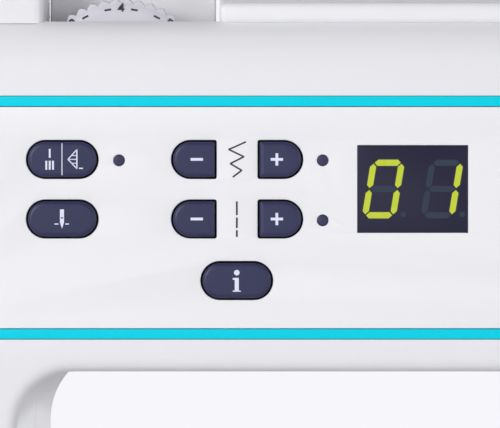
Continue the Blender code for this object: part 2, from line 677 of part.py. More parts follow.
def make_base_casing(look):
    """Housing under the pillar, open below and towards the free arm."""
    low = (BASE_LEFT, BASE_FRONT, BASE_BOTTOM + GAP)
    high = (PILLAR_RIGHT, BASE_BACK, TOP_OF_BASE)
    obj = block("base_casing", look, low, high, CASING_EDGE, steps=3)
    cut(obj, cutter_box("base hollow", (low[0] + SHELL, low[1] + SHELL, low[2] - OVERCUT),
                        (high[0] - SHELL, high[1] - SHELL, high[2] - SHELL)))
    mouth_low = (low[0] - OVERCUT, FREE_ARM_FRONT + MOUTH_INSET, FREE_ARM_BOTTOM + MOUTH_INSET)
    mouth_high = (low[0] + 2 * SHELL, FREE_ARM_BACK - MOUTH_INSET, BED_TOP - 6 * MM)
    cut(obj, cutter_box("arm mouth", mouth_low, mouth_high))
    cut(obj, cutter_box("base belt way", (TIMING_X - BELT_WAY, SEAM - 4 * MM, high[2] - 2 * SHELL),
                        (TIMING_X + BELT_WAY, SHAFT_Y + 16 * MM, high[2] + OVERCUT)))
    wall_in = high[0] - SOCKET_REACH
    wall_out = high[0] + OVERCUT
    for label, y, width, height in (("inlet", INLET_Y, INLET_WIDTH, INLET_HEIGHT),
                                    ("switch", SWITCH_Y, SWITCH_WIDTH, SWITCH_HEIGHT)):
        cut(obj, cutter_box(label, (wall_in, y - width / 2 - GAP, SOCKET_Z - height / 2 - GAP),
                            (wall_out, y + width / 2 + GAP, SOCKET_Z + height / 2 + GAP)))
    reach = SOCKET_REACH + OVERCUT
    cut(obj, rod("cut jack", None, "X", (wall_in, JACK_Y, SOCKET_Z), reach, JACK_RADIUS + GAP))
    return obj


PLATE_LEFT = NEEDLE_X - 28 * MM
PLATE_RIGHT = NEEDLE_X + 30 * MM
PLATE_FRONT = NEEDLE_Y - 9.6 * MM
PLATE_BACK = FREE_ARM_BACK - 6 * MM
COVER_FRONT = FREE_ARM_FRONT + 3 * MM
COVER_LEFT = NEEDLE_X - 19 * MM
COVER_RIGHT = NEEDLE_X + 19 * MM


def make_free_arm(look):
    low = (FREE_ARM_LEFT, FREE_ARM_FRONT, FREE_ARM_BOTTOM)
    high = (BASE_LEFT - GAP, FREE_ARM_BACK, BED_TOP)
    obj = block("free_arm_casing", look, low, high, 2.2 * MM, steps=3)
    cut(obj, cutter_box("arm hollow", (low[0] + SHELL, low[1] + SHELL, low[2] + SHELL),
                        (high[0] + 1 * MM, high[1] - SHELL, high[2] - SHELL)))
    seat = BED_TOP - PLATE_THICK - GAP
    cut(obj, cutter_box("plate seat", (PLATE_LEFT - GAP, PLATE_FRONT - GAP / 2, seat),
                        (PLATE_RIGHT + GAP, PLATE_BACK + GAP, BED_TOP + 1 * MM)))
    cut(obj, cutter_box("cover seat", (COVER_LEFT - GAP, COVER_FRONT - GAP, seat),
                        (COVER_RIGHT + GAP, PLATE_FRONT + 1 * MM, BED_TOP + 1 * MM)))
    cut(obj, cutter_box("hook well", (COVER_LEFT + 2 * MM, COVER_FRONT + 1 * MM, seat - 5 * MM),
                        (COVER_RIGHT - 2 * MM, PLATE_BACK - 4.5 * MM, BED_TOP + 1 * MM)))
    return obj


def make_needle_plate(look):
    obj = block("needle_plate", look, (PLATE_LEFT, PLATE_FRONT, BED_TOP - PLATE_THICK),
                (PLATE_RIGHT, PLATE_BACK, BED_TOP))
    top = BED_TOP + 1 * MM
    low = BED_TOP - PLATE_THICK - 1 * MM
    cut(obj, cutter_box("needle slot", (NEEDLE_X - 4 * MM, NEEDLE_Y - 1.3 * MM, low),
                        (NEEDLE_X + 4 * MM, NEEDLE_Y + 1.3 * MM, top)))
    for side in (-1, 1):
        x = NEEDLE_X + side * FEED_SPACING
        cut(obj, cutter_box(f"feed slot {side}", (x - 2 * MM, FEED_FRONT - 3.4 * MM, low),
                            (x + 2 * MM, FEED_BACK + 3.4 * MM, top)))
    return obj


FEED_SPACING = 5 * MM
FEED_FRONT = NEEDLE_Y + 7 * MM
FEED_BACK = PLATE_BACK - 8 * MM
FEED_TOP = BED_TOP + 0.8 * MM


def make_feed_dog(look):
    """Two toothed bars on a carrier under the needle plate."""
    bed = BED_TOP - PLATE_THICK - 2.5 * MM
    obj = block("feed_dog", look, (NEEDLE_X - 9 * MM, FEED_FRONT, bed - 4 * MM),
                (NEEDLE_X + 9 * MM, FEED_BACK, bed))
    for side in (-1, 1):
        x = NEEDLE_X + side * FEED_SPACING
        teeth = 9
        length = FEED_BACK - FEED_FRONT
        points = [(FEED_FRONT, bed - 1 * MM), (FEED_FRONT, FEED_TOP - 0.8 * MM)]
        for step in range(teeth):
            start = FEED_FRONT + length * step / teeth
            points.append((start + 0.75 * length / teeth, FEED_TOP))
            points.append((start + length / teeth, FEED_TOP - 0.8 * MM))
        points.append((FEED_BACK, bed - 1 * MM))
        bar = prism(f"feed bar {side}", None, points, x - 1.3 * MM, x + 1.3 * MM, plane="YZ")
        join(obj, bar)
    return obj


def make_bobbin_cover(look):
    low = (COVER_LEFT, COVER_FRONT, BED_TOP - PLATE_THICK)
    high = (COVER_RIGHT, PLATE_FRONT - GAP, BED_TOP)
    obj = block("bobbin_cover", look, low, high)
    grip = cutter_box("cover grip", (NEEDLE_X - 6 * MM, low[1] + 2 * MM, BED_TOP - 0.5 * MM),
                      (NEEDLE_X + 6 * MM, low[1] + 4 * MM, BED_TOP + 1 * MM))
    return cut(obj, grip)


HOOK_BASE = FREE_ARM_BOTTOM + SHELL + 7 * MM
CASE_TOP = BED_TOP - PLATE_THICK - 1.6 * MM


def make_hook(metal, plastic, clear):
    """Rotating race, the case inside it and the bobbin in the case."""
    centre = (NEEDLE_X, HOOK_Y, HOOK_BASE)
    race_in = HOOK_RADIUS - 1.5 * MM
    race_top = 14 * MM
    turned("rotary_hook", metal,
           [(0, 0), (HOOK_RADIUS - 3 * MM, 0), (HOOK_RADIUS, 2 * MM), (HOOK_RADIUS, race_top),
            (race_in, race_top), (race_in, 2.5 * MM), (0, 2.5 * MM)], "Z", centre, 24)
    case_out = race_in - RUNNING
    case_in = BOBBIN_RADIUS + RUNNING
    case_height = CASE_TOP - HOOK_BASE - 3 * MM
    turned("bobbin_case", plastic,
           [(0, 0), (case_out, 0), (case_out, case_height), (case_in, case_height), (case_in, 1.5 * MM),
            (0, 1.5 * MM)], "Z", (NEEDLE_X, HOOK_Y, HOOK_BASE + 3 * MM), 24)
    flange = 1.2 * MM
    height = 11 * MM
    bore = 3 * MM
    barrel = 4.2 * MM
    turned("bobbin", clear,
           [(bore, 0), (BOBBIN_RADIUS, 0), (BOBBIN_RADIUS, flange), (barrel, flange), (barrel,
                                                                                       height - flange),
            (BOBBIN_RADIUS, height - flange), (BOBBIN_RADIUS, height), (bore, height)], "Z",
           (NEEDLE_X, HOOK_Y, HOOK_BASE + 5 * MM), 20)


TRAY_RIGHT = BASE_LEFT - 1 * MM
TRAY_BOTTOM = 3 * MM
TRAY_LIP = 0.4 * MM          # side clearance between the tray and the free arm
LID_THICK = 2.6 * MM
TRAY_BACK_INSIDE = FREE_ARM_BACK + TRAY_LIP


def make_tray(look):
    """Storage bed that wraps the free arm on three sides and slides off to the left."""
    top = BED_TOP - LID_THICK - GAP
    obj = block("accessory_tray", look, (LEFT, BASE_FRONT, TRAY_BOTTOM), (TRAY_RIGHT, BASE_BACK, BED_TOP),
                3 * MM, steps=3)
    cut(obj, cutter_box("tray mouth", (FREE_ARM_LEFT - TRAY_LIP, FREE_ARM_FRONT - TRAY_LIP,
                                       TRAY_BOTTOM - 1 * MM),
                        (TRAY_RIGHT + 1 * MM, TRAY_BACK_INSIDE, BED_TOP + 1 * MM)))
    cut(obj, cutter_box("plate way", (-170 * MM, -57 * MM, TRAY_BOTTOM - 1 * MM),
                        (TRAY_RIGHT + 1 * MM, BASE_BACK - 16 * MM, BASE_BOTTOM + 1 * MM)))
    cut(obj, cutter_box("back hollow", (FREE_ARM_LEFT, TRAY_BACK_INSIDE + SHELL, TRAY_BOTTOM - 1 * MM),
                        (TRAY_RIGHT - SHELL, BASE_BACK - SHELL, BED_TOP - SHELL)))
    lid_back = FREE_ARM_FRONT - TRAY_LIP - 2.5 * MM
    cut(obj, cutter_box("lid seat", (LEFT + 10 * MM, BASE_FRONT - 1 * MM, top),
                        (TRAY_RIGHT - 6 * MM, lid_back, BED_TOP + 1 * MM)))
    cut(obj, cutter_box("tray well", (LEFT + 12.5 * MM, BASE_FRONT + SHELL, BASE_BOTTOM + 3.5 * MM),
                        (TRAY_RIGHT - 8.5 * MM, lid_back - 1.5 * MM, BED_TOP + 1 * MM)))
    return obj


def make_tray_lid(look):
    lid_back = FREE_ARM_FRONT - TRAY_LIP - 2.5 * MM - GAP
    low = (LEFT + 10 * MM + GAP, BASE_FRONT, BED_TOP - LID_THICK)
    high = (TRAY_RIGHT - 6 * MM - GAP, lid_back, BED_TOP)
    pivot = (0, BASE_FRONT, BED_TOP - LID_THICK - GAP / 2)
    obj = block("tray_lid", look, low, high, 0.5 * MM, pivot=pivot, steps=1)
    middle = (low[0] + high[0]) / 2
    return cut(obj, cutter_box("lid grip", (middle - 12 * MM, lid_back - 3 * MM, low[2] + 1 * MM),
                               (middle + 12 * MM, lid_back + 1 * MM, BED_TOP + 1 * MM)))


# ---------------------------------------------------------------- drive train

def loop_band(name, look, x, width, ends, thickness):
    """Flat belt round two wheels; ends are two (y, z, radius) in one plane."""
    (y1, z1, r1), (y2, z2, r2) = ends

    def hull(grow):
        a, b = Vector((y1, z1)), Vector((y2, z2))
        direction = (b - a).normalized()
        heading = Vector((1, 0)).angle_signed(direction)
        heading = -heading
        lean = (r1 - r2) / (b - a).length
        spread = radians(90) - lean
        steps = 14
        points = []
        for i in range(steps + 1):
            turn = heading + spread + (2 * pi - 2 * spread) * i / steps
            points.append((y1 + (r1 + grow) * cos(turn), z1 + (r1 + grow) * sin(turn)))
        for i in range(steps + 1):
            turn = heading - spread + 2 * spread * i / steps
            points.append((y2 + (r2 + grow) * cos(turn), z2 + (r2 + grow) * sin(turn)))
        return points

    obj = prism(name, look, hull(thickness + GAP), x, x + width, plane="YZ")
    return cut(obj, prism(f"cut {name}", None, hull(GAP), x - 1 * MM, x + width + 1 * MM, plane="YZ"))


def make_drive(steel, dark, rubber, zinc):
    shaft_left = NEEDLE_X + 18 * MM
    shaft_end = PILLAR_RIGHT + 12 * MM
    shaft = rod("main_shaft", steel, "X", (shaft_left, SHAFT_Y, SHAFT_Z), shaft_end - shaft_left,
                SHAFT_RADIUS, 12)
    pulley = rod("big pulley", None, "X", (BELT_X, SHAFT_Y, SHAFT_Z), BELT_WIDTH + 1 * MM, BIG_PULLEY, 28)
    gear = rod("small wheel", None, "X", (TIMING_X, SHAFT_Y, SHAFT_Z), BELT_WIDTH + 1 * MM, TIMING_PULLEY, 20)
    crank = rod("crank disc", None, "X", (shaft_left - 0.1 * MM, SHAFT_Y, SHAFT_Z), 6 * MM, 14 * MM, 20)
    join(shaft, pulley, gear, crank)

    body_end = BELT_X - 4 * MM
    motor = rod("motor", dark, "X", (MOTOR_X - MOTOR_HALF, SHAFT_Y, MOTOR_Z),
                body_end - MOTOR_X + MOTOR_HALF, MOTOR_RADIUS, 24,
                chamfer=2 * MM)
    bore = rod("cut motor bore", None, "X", (body_end - 8 * MM, SHAFT_Y, MOTOR_Z), 10 * MM,
               MOTOR_STUB + RUNNING, 20)
    cut(motor, bore)
    wheel = rod("motor_pulley", steel, "X", (BELT_X, SHAFT_Y, MOTOR_Z), BELT_WIDTH + 1 * MM, SMALL_PULLEY, 24)
    stub = rod("motor stub", None, "X", (body_end - 6 * MM, SHAFT_Y, MOTOR_Z), BELT_X - body_end + 7 * MM,
               MOTOR_STUB, 20)
    join(wheel, stub)
    loop_band("drive_belt", rubber, BELT_X + 0.5 * MM, BELT_WIDTH,
              ((SHAFT_Y, SHAFT_Z, BIG_PULLEY), (SHAFT_Y, MOTOR_Z, SMALL_PULLEY)), BELT)

    lower_left = NEEDLE_X + 20 * MM
    lower = rod("lower_shaft", steel, "X", (lower_left, SHAFT_Y, LOWER_Z), TIMING_X + 24 * MM - lower_left,
                SHAFT_RADIUS, 12)
    low_gear = rod("lower wheel", None, "X", (TIMING_X, SHAFT_Y, LOWER_Z), BELT_WIDTH + 1 * MM,
                   TIMING_PULLEY, 20)
    join(lower, low_gear)
    loop_band("timing_belt", rubber, TIMING_X + 0.5 * MM, BELT_WIDTH,
              ((SHAFT_Y, SHAFT_Z, TIMING_PULLEY), (SHAFT_Y, LOWER_Z, TIMING_PULLEY)), BELT)

    plate_low = SHAFT_Y + 20 * MM
    outline = [(HEAD_LEFT + 18 * MM, HEAD_BOTTOM + 36 * MM), (NEEDLE_X + 24 * MM, HEAD_BOTTOM + 30 * MM),
               (NEEDLE_X + 24 * MM, ARM_BOTTOM + 24 * MM), (HARP_RIGHT + 24 * MM, ARM_BOTTOM + 24 * MM),
               (HARP_RIGHT + 24 * MM, BED_TOP + 8 * MM), (PILLAR_RIGHT - 30 * MM, BED_TOP + 8 * MM),
               (PILLAR_RIGHT - 30 * MM, COVER_BOTTOM - 4 * MM), (HEAD_LEFT + 18 * MM, COVER_BOTTOM - 4 * MM)]
    prism("chassis", zinc, outline, plate_low, plate_low + 4 * MM)


def make_handwheel(look):
    start = PILLAR_RIGHT + 0.8 * MM
    width = WHEEL_RIGHT - start
    bore = SHAFT_RADIUS + GAP
    depth = 13 * MM
    rim = WHEEL_RADIUS
    profile = [(bore, 0), (rim - 4 * MM, 0), (rim, 3 * MM), (rim, width - 3 * MM), (rim - 3 * MM, width)]
    profile += [(rim - 8 * MM, width), (rim - 11 * MM, width - 3 * MM), (8 * MM, width - 3 * MM)]
    profile += [(6 * MM, width - 1 * MM), (0, width - 1 * MM), (0, depth), (bore, depth)]
    return turned("handwheel", look, profile, "X", (start, SHAFT_Y, SHAFT_Z), 36)


# ---------------------------------------------------------------- needle and presser

BAR_LOW = HEAD_BOTTOM - 6 * MM
CLAMP_HEIGHT = 10 * MM
FOOT_BASE = FEED_TOP + GAP


def make_needle_parts(steel):
    bar = rod("needle_bar", steel, "Z", (NEEDLE_X, NEEDLE_Y, BAR_LOW), SHAFT_Z + 12 * MM - BAR_LOW,
              NEEDLE_BAR, 20,
              chamfer=0.5 * MM)
    clamp_low = BAR_LOW - GAP - CLAMP_HEIGHT
    clamp = rod("needle_clamp", steel, "Z", (NEEDLE_X, NEEDLE_Y, clamp_low), CLAMP_HEIGHT, 4.2 * MM, 24,
                chamfer=0.6 * MM)
    screw = rod("clamp screw", None, "X", (NEEDLE_X + 2 * MM, NEEDLE_Y, clamp_low + 5 * MM), 8 * MM,
                2.6 * MM, 16,
                chamfer=0.4 * MM)
    join(clamp, screw)
    top = clamp_low - GAP
    length = top - NEEDLE_TIP
    turned("needle", steel, [(0, 0), (0.25 * MM, 2 * MM), (0.45 * MM, 4 * MM), (0.45 * MM, length - 9 * MM),
                             (1 * MM, length - 8 * MM), (1 * MM, length), (0, length)], "Z",
           (NEEDLE_X, NEEDLE_Y, NEEDLE_TIP), 14)
    return bar


TAKE_UP_Y = NEEDLE_Y - 10 * MM
TAKE_UP_Z = ARM_BOTTOM + 19 * MM
TAKE_UP_REST = 22            # degrees above level with the needle bar up


def make_take_up(steel):
    reach = TAKE_UP_Y - CASING_FRONT + 6 * MM
    lean = radians(TAKE_UP_REST)

    def place(along, up):
        return (TAKE_UP_Y - along * cos(lean) - up * sin(lean) * -1,
                TAKE_UP_Z + along * sin(lean) + up * cos(lean))

    points = [place(0, -5 * MM), place(reach - 4 * MM, -2.4 * MM), place(reach, -1 * MM)]
    points += [place(reach + 1 * MM, 2.4 * MM), place(reach - 3 * MM, 2.8 * MM), place(0, 5 * MM)]
    points += [place(-4.5 * MM, 2.6 * MM), place(-4.5 * MM, -2.6 * MM)]
    obj = prism("take_up_lever", steel, points, NEEDLE_X - 1.1 * MM, NEEDLE_X + 1.1 * MM, plane="YZ",
                pivot=(NEEDLE_X, TAKE_UP_Y, TAKE_UP_Z))
    eye_y, eye_z = place(reach - 3 * MM, 0.4 * MM)
    return cut(obj, rod("cut thread eye", None, "X", (NEEDLE_X - 3 * MM, eye_y, eye_z), 6 * MM, 1 * MM, 14))


def make_presser(steel):
    bar_low = FOOT_BASE + 15 * MM
    rod("presser_bar", steel, "Z", (NEEDLE_X, PRESSER_Y, bar_low), HEAD_BOTTOM + 60 * MM - bar_low,
        PRESSER_BAR, 20,
        chamfer=0.4 * MM)
    low = (NEEDLE_X - 9 * MM, NEEDLE_Y - 9 * MM, FOOT_BASE)
    high = (NEEDLE_X + 9 * MM, PRESSER_Y + 7 * MM, FOOT_BASE + 2.4 * MM)
    sole = block("presser_foot", steel, low, high)
    cut(sole, cutter_box("foot slot", (NEEDLE_X - 5 * MM, NEEDLE_Y - 2 * MM, low[2] - 1 * MM),
                         (NEEDLE_X + 5 * MM, NEEDLE_Y + 2 * MM, high[2] + 1 * MM)))
    ankle = block("foot ankle", None, (NEEDLE_X - 4 * MM, PRESSER_Y - 5 * MM, high[2] - 0.5 * MM),
                  (NEEDLE_X + 4 * MM, PRESSER_Y + 5 * MM, bar_low - GAP), 0.6 * MM, steps=1)
    return join(sole, ankle)


def make_lifter(look):
    """Cranked lever behind the head that lifts the presser bar."""
    y = CASING_BACK + 1 * MM
    thick = 5 * MM
    reach = 30 * MM
    x, z = LIFTER_X, LIFTER_Z
    points = arc((x, z), 8 * MM, 60, 270, 8)
    points += [(x + reach - 6 * MM, z - 14 * MM)]
    points += arc((x + reach, z - 8 * MM), 6 * MM, 270, 405, 5)
    obj = prism("presser_lifter", look, points, y, y + thick, 1 * MM, pivot=(x, y, z))
    stub = rod("lifter stub", None, "Y", (x, y - 8 * MM, z), 9 * MM, LIFTER_HUB, 20)
    return join(obj, stub)


def make_lamp(look):
    block("sewing_lamp", look, (NEEDLE_X + 10 * MM, NEEDLE_Y - 12 * MM, HEAD_BOTTOM + 1 * MM),
          (NEEDLE_X + 22 * MM, NEEDLE_Y + 2 * MM, HEAD_BOTTOM + 5 * MM), 1 * MM)


# ---------------------------------------------------------------- right side

def make_power_parts(look, dark):
    x = PILLAR_RIGHT
    outer = x + 0.6 * MM
    inlet = block("power_inlet", look, (x - 16 * MM, INLET_Y - INLET_WIDTH / 2, SOCKET_Z - INLET_HEIGHT / 2),
                  (outer, INLET_Y + INLET_WIDTH / 2, SOCKET_Z + INLET_HEIGHT / 2))
    cut(inlet, cutter_box("inlet hollow", (x - 13 * MM, INLET_Y - 9.5 * MM, SOCKET_Z - 6 * MM),
                          (x + 2 * MM, INLET_Y + 9.5 * MM, SOCKET_Z + 6 * MM)))
    for side in (-1, 1):
        y = INLET_Y + side * 4.5 * MM
        join(inlet, rod(f"inlet pin {side}", None, "X", (x - 14 * MM, y, SOCKET_Z), 9 * MM, 1 * MM, 12))
    bore = 3.2 * MM
    turned("pedal_jack", dark, [(0, 0), (JACK_RADIUS, 0), (JACK_RADIUS, 14.6 * MM), (bore, 14.6 * MM),
                                (bore, 2 * MM), (0, 2 * MM)], "X", (x - 14 * MM, JACK_Y, SOCKET_Z), 24)
    lean = 1.2 * MM
    half = SWITCH_HEIGHT / 2 - 1 * MM
    points = [(x - 7 * MM, SOCKET_Z - half + 1 * MM), (x + lean, SOCKET_Z - half), (x - 0.2 * MM, SOCKET_Z),
              (x - 0.2 * MM + lean / 3, SOCKET_Z + half), (x - 7 * MM, SOCKET_Z + half - 1 * MM)]
    width = SWITCH_WIDTH / 2 - 0.6 * MM
    return prism("power_switch", dark, points, SWITCH_Y - width, SWITCH_Y + width,
                 pivot=(x - 5 * MM, SWITCH_Y, SOCKET_Z))


def main():
    for old in list(bpy.data.objects):
        bpy.data.objects.remove(old, do_unlink=True)
    white = material("white plastic", (0.86, 0.86, 0.88), 0.35)
    panel = material("panel plastic", (0.88, 0.88, 0.9), 0.4)
    pale = material("pale plastic", (0.72, 0.71, 0.76), 0.35)
    grey = material("grey plastic", (0.45, 0.46, 0.5), 0.45)
    turquoise = material("turquoise trim", (0.02, 0.62, 0.78), 0.35)
    navy = material("navy plastic", (0.035, 0.035, 0.1), 0.4)
    glass = material("display glass", (0.02, 0.02, 0.06), 0.2)
    steel = material("polished steel", (0.62, 0.62, 0.64), 0.25, 1.0)
    zinc = material("cast chassis", (0.4, 0.41, 0.42), 0.6, 0.8)
    rubber = material("rubber", (0.03, 0.03, 0.03), 0.85)
    green = material("circuit board", (0.03, 0.2, 0.1), 0.5)
    clear = material("clear plastic", (0.8, 0.85, 0.9), 0.15)
    lamp = material("lamp lens", (0.95, 0.95, 0.85), 0.2)

    make_front_casing(white)
    make_rear_casing(white)
    make_top_cover(pale)
    make_thread_block(white)
    make_top_lid(white)
    make_tension_dial(pale)
    make_spool_parts(grey, steel)
    make_winder(steel)
    make_carry_handle(white)
    make_front_panel(panel)
    make_stripe("upper_trim", turquoise, UPPER_STRIPE - STRIPE)
    make_stripe("lower_trim", turquoise, LOWER_STRIPE)
    make_buttons(navy)
    make_lenses(navy)
    make_display(glass, green)
    make_reverse_button(pale)
    make_feet(rubber)
    make_base_plate(grey)
    make_base_casing(white)
    make_free_arm(white)
    make_needle_plate(steel)
    make_feed_dog(steel)
    make_bobbin_cover(clear)
    make_hook(steel, navy, clear)
    make_tray(white)
    make_tray_lid(white)
    make_drive(steel, navy, rubber, zinc)
    make_handwheel(white)
    make_needle_parts(steel)
    make_take_up(steel)
    make_presser(steel)
    make_lifter(grey)
    make_lamp(lamp)
    make_power_parts(navy, navy)


main()
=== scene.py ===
import json
from math import copysign, cos, pi, radians, sin

import bmesh
import bpy
from mathutils import Matrix, Vector


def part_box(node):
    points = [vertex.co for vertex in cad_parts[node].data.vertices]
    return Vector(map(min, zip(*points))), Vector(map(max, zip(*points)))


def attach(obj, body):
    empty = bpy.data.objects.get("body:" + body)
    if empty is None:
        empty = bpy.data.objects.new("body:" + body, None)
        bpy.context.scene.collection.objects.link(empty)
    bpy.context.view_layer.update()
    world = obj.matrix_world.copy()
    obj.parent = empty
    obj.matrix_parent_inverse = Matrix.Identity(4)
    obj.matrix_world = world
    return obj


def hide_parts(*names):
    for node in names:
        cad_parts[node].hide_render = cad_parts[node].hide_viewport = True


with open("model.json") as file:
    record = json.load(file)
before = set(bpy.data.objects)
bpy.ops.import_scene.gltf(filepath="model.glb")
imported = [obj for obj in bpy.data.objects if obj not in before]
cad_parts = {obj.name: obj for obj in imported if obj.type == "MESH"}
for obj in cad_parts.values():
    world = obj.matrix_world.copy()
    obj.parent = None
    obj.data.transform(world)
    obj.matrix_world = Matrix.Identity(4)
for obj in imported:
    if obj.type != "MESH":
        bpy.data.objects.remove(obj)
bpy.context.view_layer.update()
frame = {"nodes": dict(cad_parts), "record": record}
MM = 0.001

# ------------------------------------------------------------------ studio
# A plain pale floor, white surroundings, one broad soft light in front of the machine from the upper left,
# and weaker ones from the front right, low in front and behind. The camera looks level at the arm's control panel.

panel_low, panel_high = (Vector(v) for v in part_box("front_panel"))
casing_low, casing_high = (Vector(v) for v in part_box("front_casing"))
panel_y = panel_low.y
view_width = 110 * MM
camera_distance = 600 * MM
sensor = 36

scene = bpy.context.scene
camera_data = bpy.data.cameras.new("camera")
camera_data.sensor_width = sensor
camera_data.lens = sensor * camera_distance / view_width
camera_data.clip_end = 50
camera = bpy.data.objects.new("camera", camera_data)
harp_left = -98 * MM
arm_bottom = 187 * MM
camera.location = (harp_left + 51.3 * MM, panel_y - camera_distance, arm_bottom + 34.8 * MM)
camera.rotation_euler = (pi / 2, 0, 0)
bpy.context.collection.objects.link(camera)
scene.camera = camera
scene.view_settings.view_transform = "Standard"

world = bpy.data.worlds.new("studio air")
world.use_nodes = True
scene.world = world
air = world.node_tree
air_shader = air.nodes["Background"]
rays = air.nodes.new("ShaderNodeLightPath")
mix_air = air.nodes.new("ShaderNodeMix")
mix_air.data_type = "RGBA"
direction = air.nodes.new("ShaderNodeTexCoord")
height = air.nodes.new("ShaderNodeSeparateXYZ")
fall = air.nodes.new("ShaderNodeMapRange")
fall.inputs["From Min"].default_value = 0.0
fall.inputs["From Max"].default_value = 0.8
dome = air.nodes.new("ShaderNodeMix")
dome.data_type = "RGBA"
dome.inputs[6].default_value = (0.56, 0.56, 0.58, 1)
dome.inputs[7].default_value = (0.16, 0.16, 0.175, 1)
air.links.new(direction.outputs["Generated"], height.inputs[0])
air.links.new(height.outputs["Z"], fall.inputs["Value"])
air.links.new(fall.outputs["Result"], dome.inputs[0])
air.links.new(dome.outputs[2], mix_air.inputs[6])
mix_air.inputs[7].default_value = (0.93, 0.925, 0.96, 1)
air.links.new(rays.outputs["Is Camera Ray"], mix_air.inputs[0])
air.links.new(mix_air.outputs[2], air_shader.inputs["Color"])


def new_object(name, data):
    """A new object in the scene."""
    obj = bpy.data.objects.new(name, data)
    bpy.context.collection.objects.link(obj)
    return obj


def area_light(name, place, target, size, power):
    data = bpy.data.lights.new(name, "AREA")
    data.shape = "DISK"
    data.size = size
    data.energy = power
    light = new_object(name, data)
    light.location = place
    light.rotation_euler = (Vector(target) - Vector(place)).to_track_quat("-Z", "Y").to_euler()
    light.visible_camera = False


area_light("front softbox", (-1.25, -1.6, 0.95), (0, 0, 0.18), 1.1, 23.2)
area_light("right softbox", (1.5, -1.3, 0.5), (0, 0, 0.15), 1.0, 6)
area_light("low fill", (-0.1, -1.3, 0.06), (0, 0, 0.22), 0.8, 1.3)
area_light("back softbox", (0.8, 1.9, 0.5), (0, 0, 0.15), 1.2, 12)


class Shade:
    """A socket in a material's tree: operators add Math nodes, node() adds any other."""

    def __init__(self, tree, socket):
        self.tree = tree
        self.socket = socket

    def node(self, kind, settings=None, sockets=None, out=0):
        made = self.tree.nodes.new(kind)
        for key, value in (settings or {}).items():
            setattr(made, key, value)
        for key, value in (sockets or {}).items():
            if isinstance(value, Shade):
                self.tree.links.new(value.socket, made.inputs[key])
            else:
                made.inputs[key].default_value = value
        return Shade(self.tree, made.outputs[out])

    def math(self, operation, first, second=0.0):
        return self.node("ShaderNodeMath", {"operation": operation}, {0: first, 1: second})

    def __add__(self, other):
        return self.math("ADD", self, other)

    def __mul__(self, other):
        return self.math("MULTIPLY", self, other)

    __radd__ = __add__
    __rmul__ = __mul__

    def noise(self, scale, detail=2.0, rough=0.5):
        return self.node("ShaderNodeTexNoise", None,
                         {"Vector": self, "Scale": scale, "Detail": detail, "Roughness": rough})

    def colours(self, low, high):
        return self.node("ShaderNodeMix", {"data_type": "RGBA"}, {0: self, 6: (*low, 1), 7: (*high, 1)}, out=2)


def finish_material(name, colour, roughness, grain=0.0, grain_size=1500.0, tint=0.04, metallic=0.0, coat=0.0,
                    wear=0.0, transmission=0.0, streak=None, specular=0.5):
    """Colour that drifts a little, fine grain in the surface and a drifting gloss."""
    mat = bpy.data.materials.new(name)
    mat.use_nodes = True
    tree = mat.node_tree
    shader = tree.nodes["Principled BSDF"]
    place = Shade(tree, tree.nodes.new("ShaderNodeTexCoord").outputs["Object"])
    if streak:
        place = place.node("ShaderNodeMapping", None, {"Vector": place, "Scale": streak})
    cloud = place.noise(22.0, 3.0)
    speck = place.noise(grain_size, 2.0, 0.6)
    mixed = cloud * 0.6 + speck * 0.4
    dark = tuple(c * (1 - tint) for c in colour)
    light = tuple(min(c * (1 + tint), 1) for c in colour)
    shade = mixed.colours(dark, light)
    tree.links.new(shade.socket, shader.inputs["Base Color"])
    gloss = cloud * (0.12 + wear) + (roughness - 0.06 - wear / 2) + speck * 0.03
    tree.links.new(gloss.socket, shader.inputs["Roughness"])
    shader.inputs["Metallic"].default_value = metallic
    shader.inputs["Specular IOR Level"].default_value = specular
    shader.inputs["Coat Weight"].default_value = coat
    shader.inputs["Coat Roughness"].default_value = 0.15
    shader.inputs["Transmission Weight"].default_value = transmission
    if grain:
        bump = place.node("ShaderNodeBump", None, {"Height": speck, "Strength": grain, "Distance": 0.00004})
        tree.links.new(bump.socket, shader.inputs["Normal"])
    return mat


def soften(mesh, angle):
    """Smooth shading, with edges sharper than the angle kept crisp."""
    for polygon in mesh.polygons:
        polygon.use_smooth = True
    mesh.set_sharp_from_angle(angle=radians(angle))


def bake(obj, name, smooth=35):
    """Plain mesh of an object as its modifiers leave it, with its place in the mesh; the source goes."""
    bpy.context.view_layer.update()
    graph = bpy.context.evaluated_depsgraph_get()
    mesh = bpy.data.meshes.new_from_object(obj.evaluated_get(graph), depsgraph=graph)
    mesh.transform(obj.matrix_world)
    mesh.name = name
    soften(mesh, smooth)
    bpy.data.objects.remove(obj, do_unlink=True)
    return new_object(name, mesh)


def from_bmesh(bm, name, material, smooth=35, correct=True):
    if correct:
        bmesh.ops.recalc_face_normals(bm, faces=bm.faces)
    mesh = bpy.data.meshes.new(name)
    bm.to_mesh(mesh)
    bm.free()
    soften(mesh, smooth)
    mesh.materials.append(material)
    return new_object(name, mesh)


def skin(bm, rings):
    """Quads between each ring of points and the next."""
    for near, far in zip(rings, rings[1:]):
        for i in range(len(near)):
            j = (i + 1) % len(near)
            bm.faces.new((near[i], near[j], far[j], far[i]))


def fixed(piece, body="machine", stands_for=()):
    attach(piece, body)
    if stands_for:
        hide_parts(*stands_for)
    return piece


bm = bmesh.new()
bmesh.ops.create_circle(bm, cap_ends=True, segments=96, radius=1.9)
floor_look = finish_material("studio floor", (0.86, 0.86, 0.87), 0.6, tint=0.01)
floor = from_bmesh(bm, "floor", floor_look)


# ------------------------------------------------------------------ arm casing
# Two white injection-moulded halves, screwed together through the chassis. The front's
# upper edge is a broad round-over, and the edges round the harp are tight. Satin ABS.

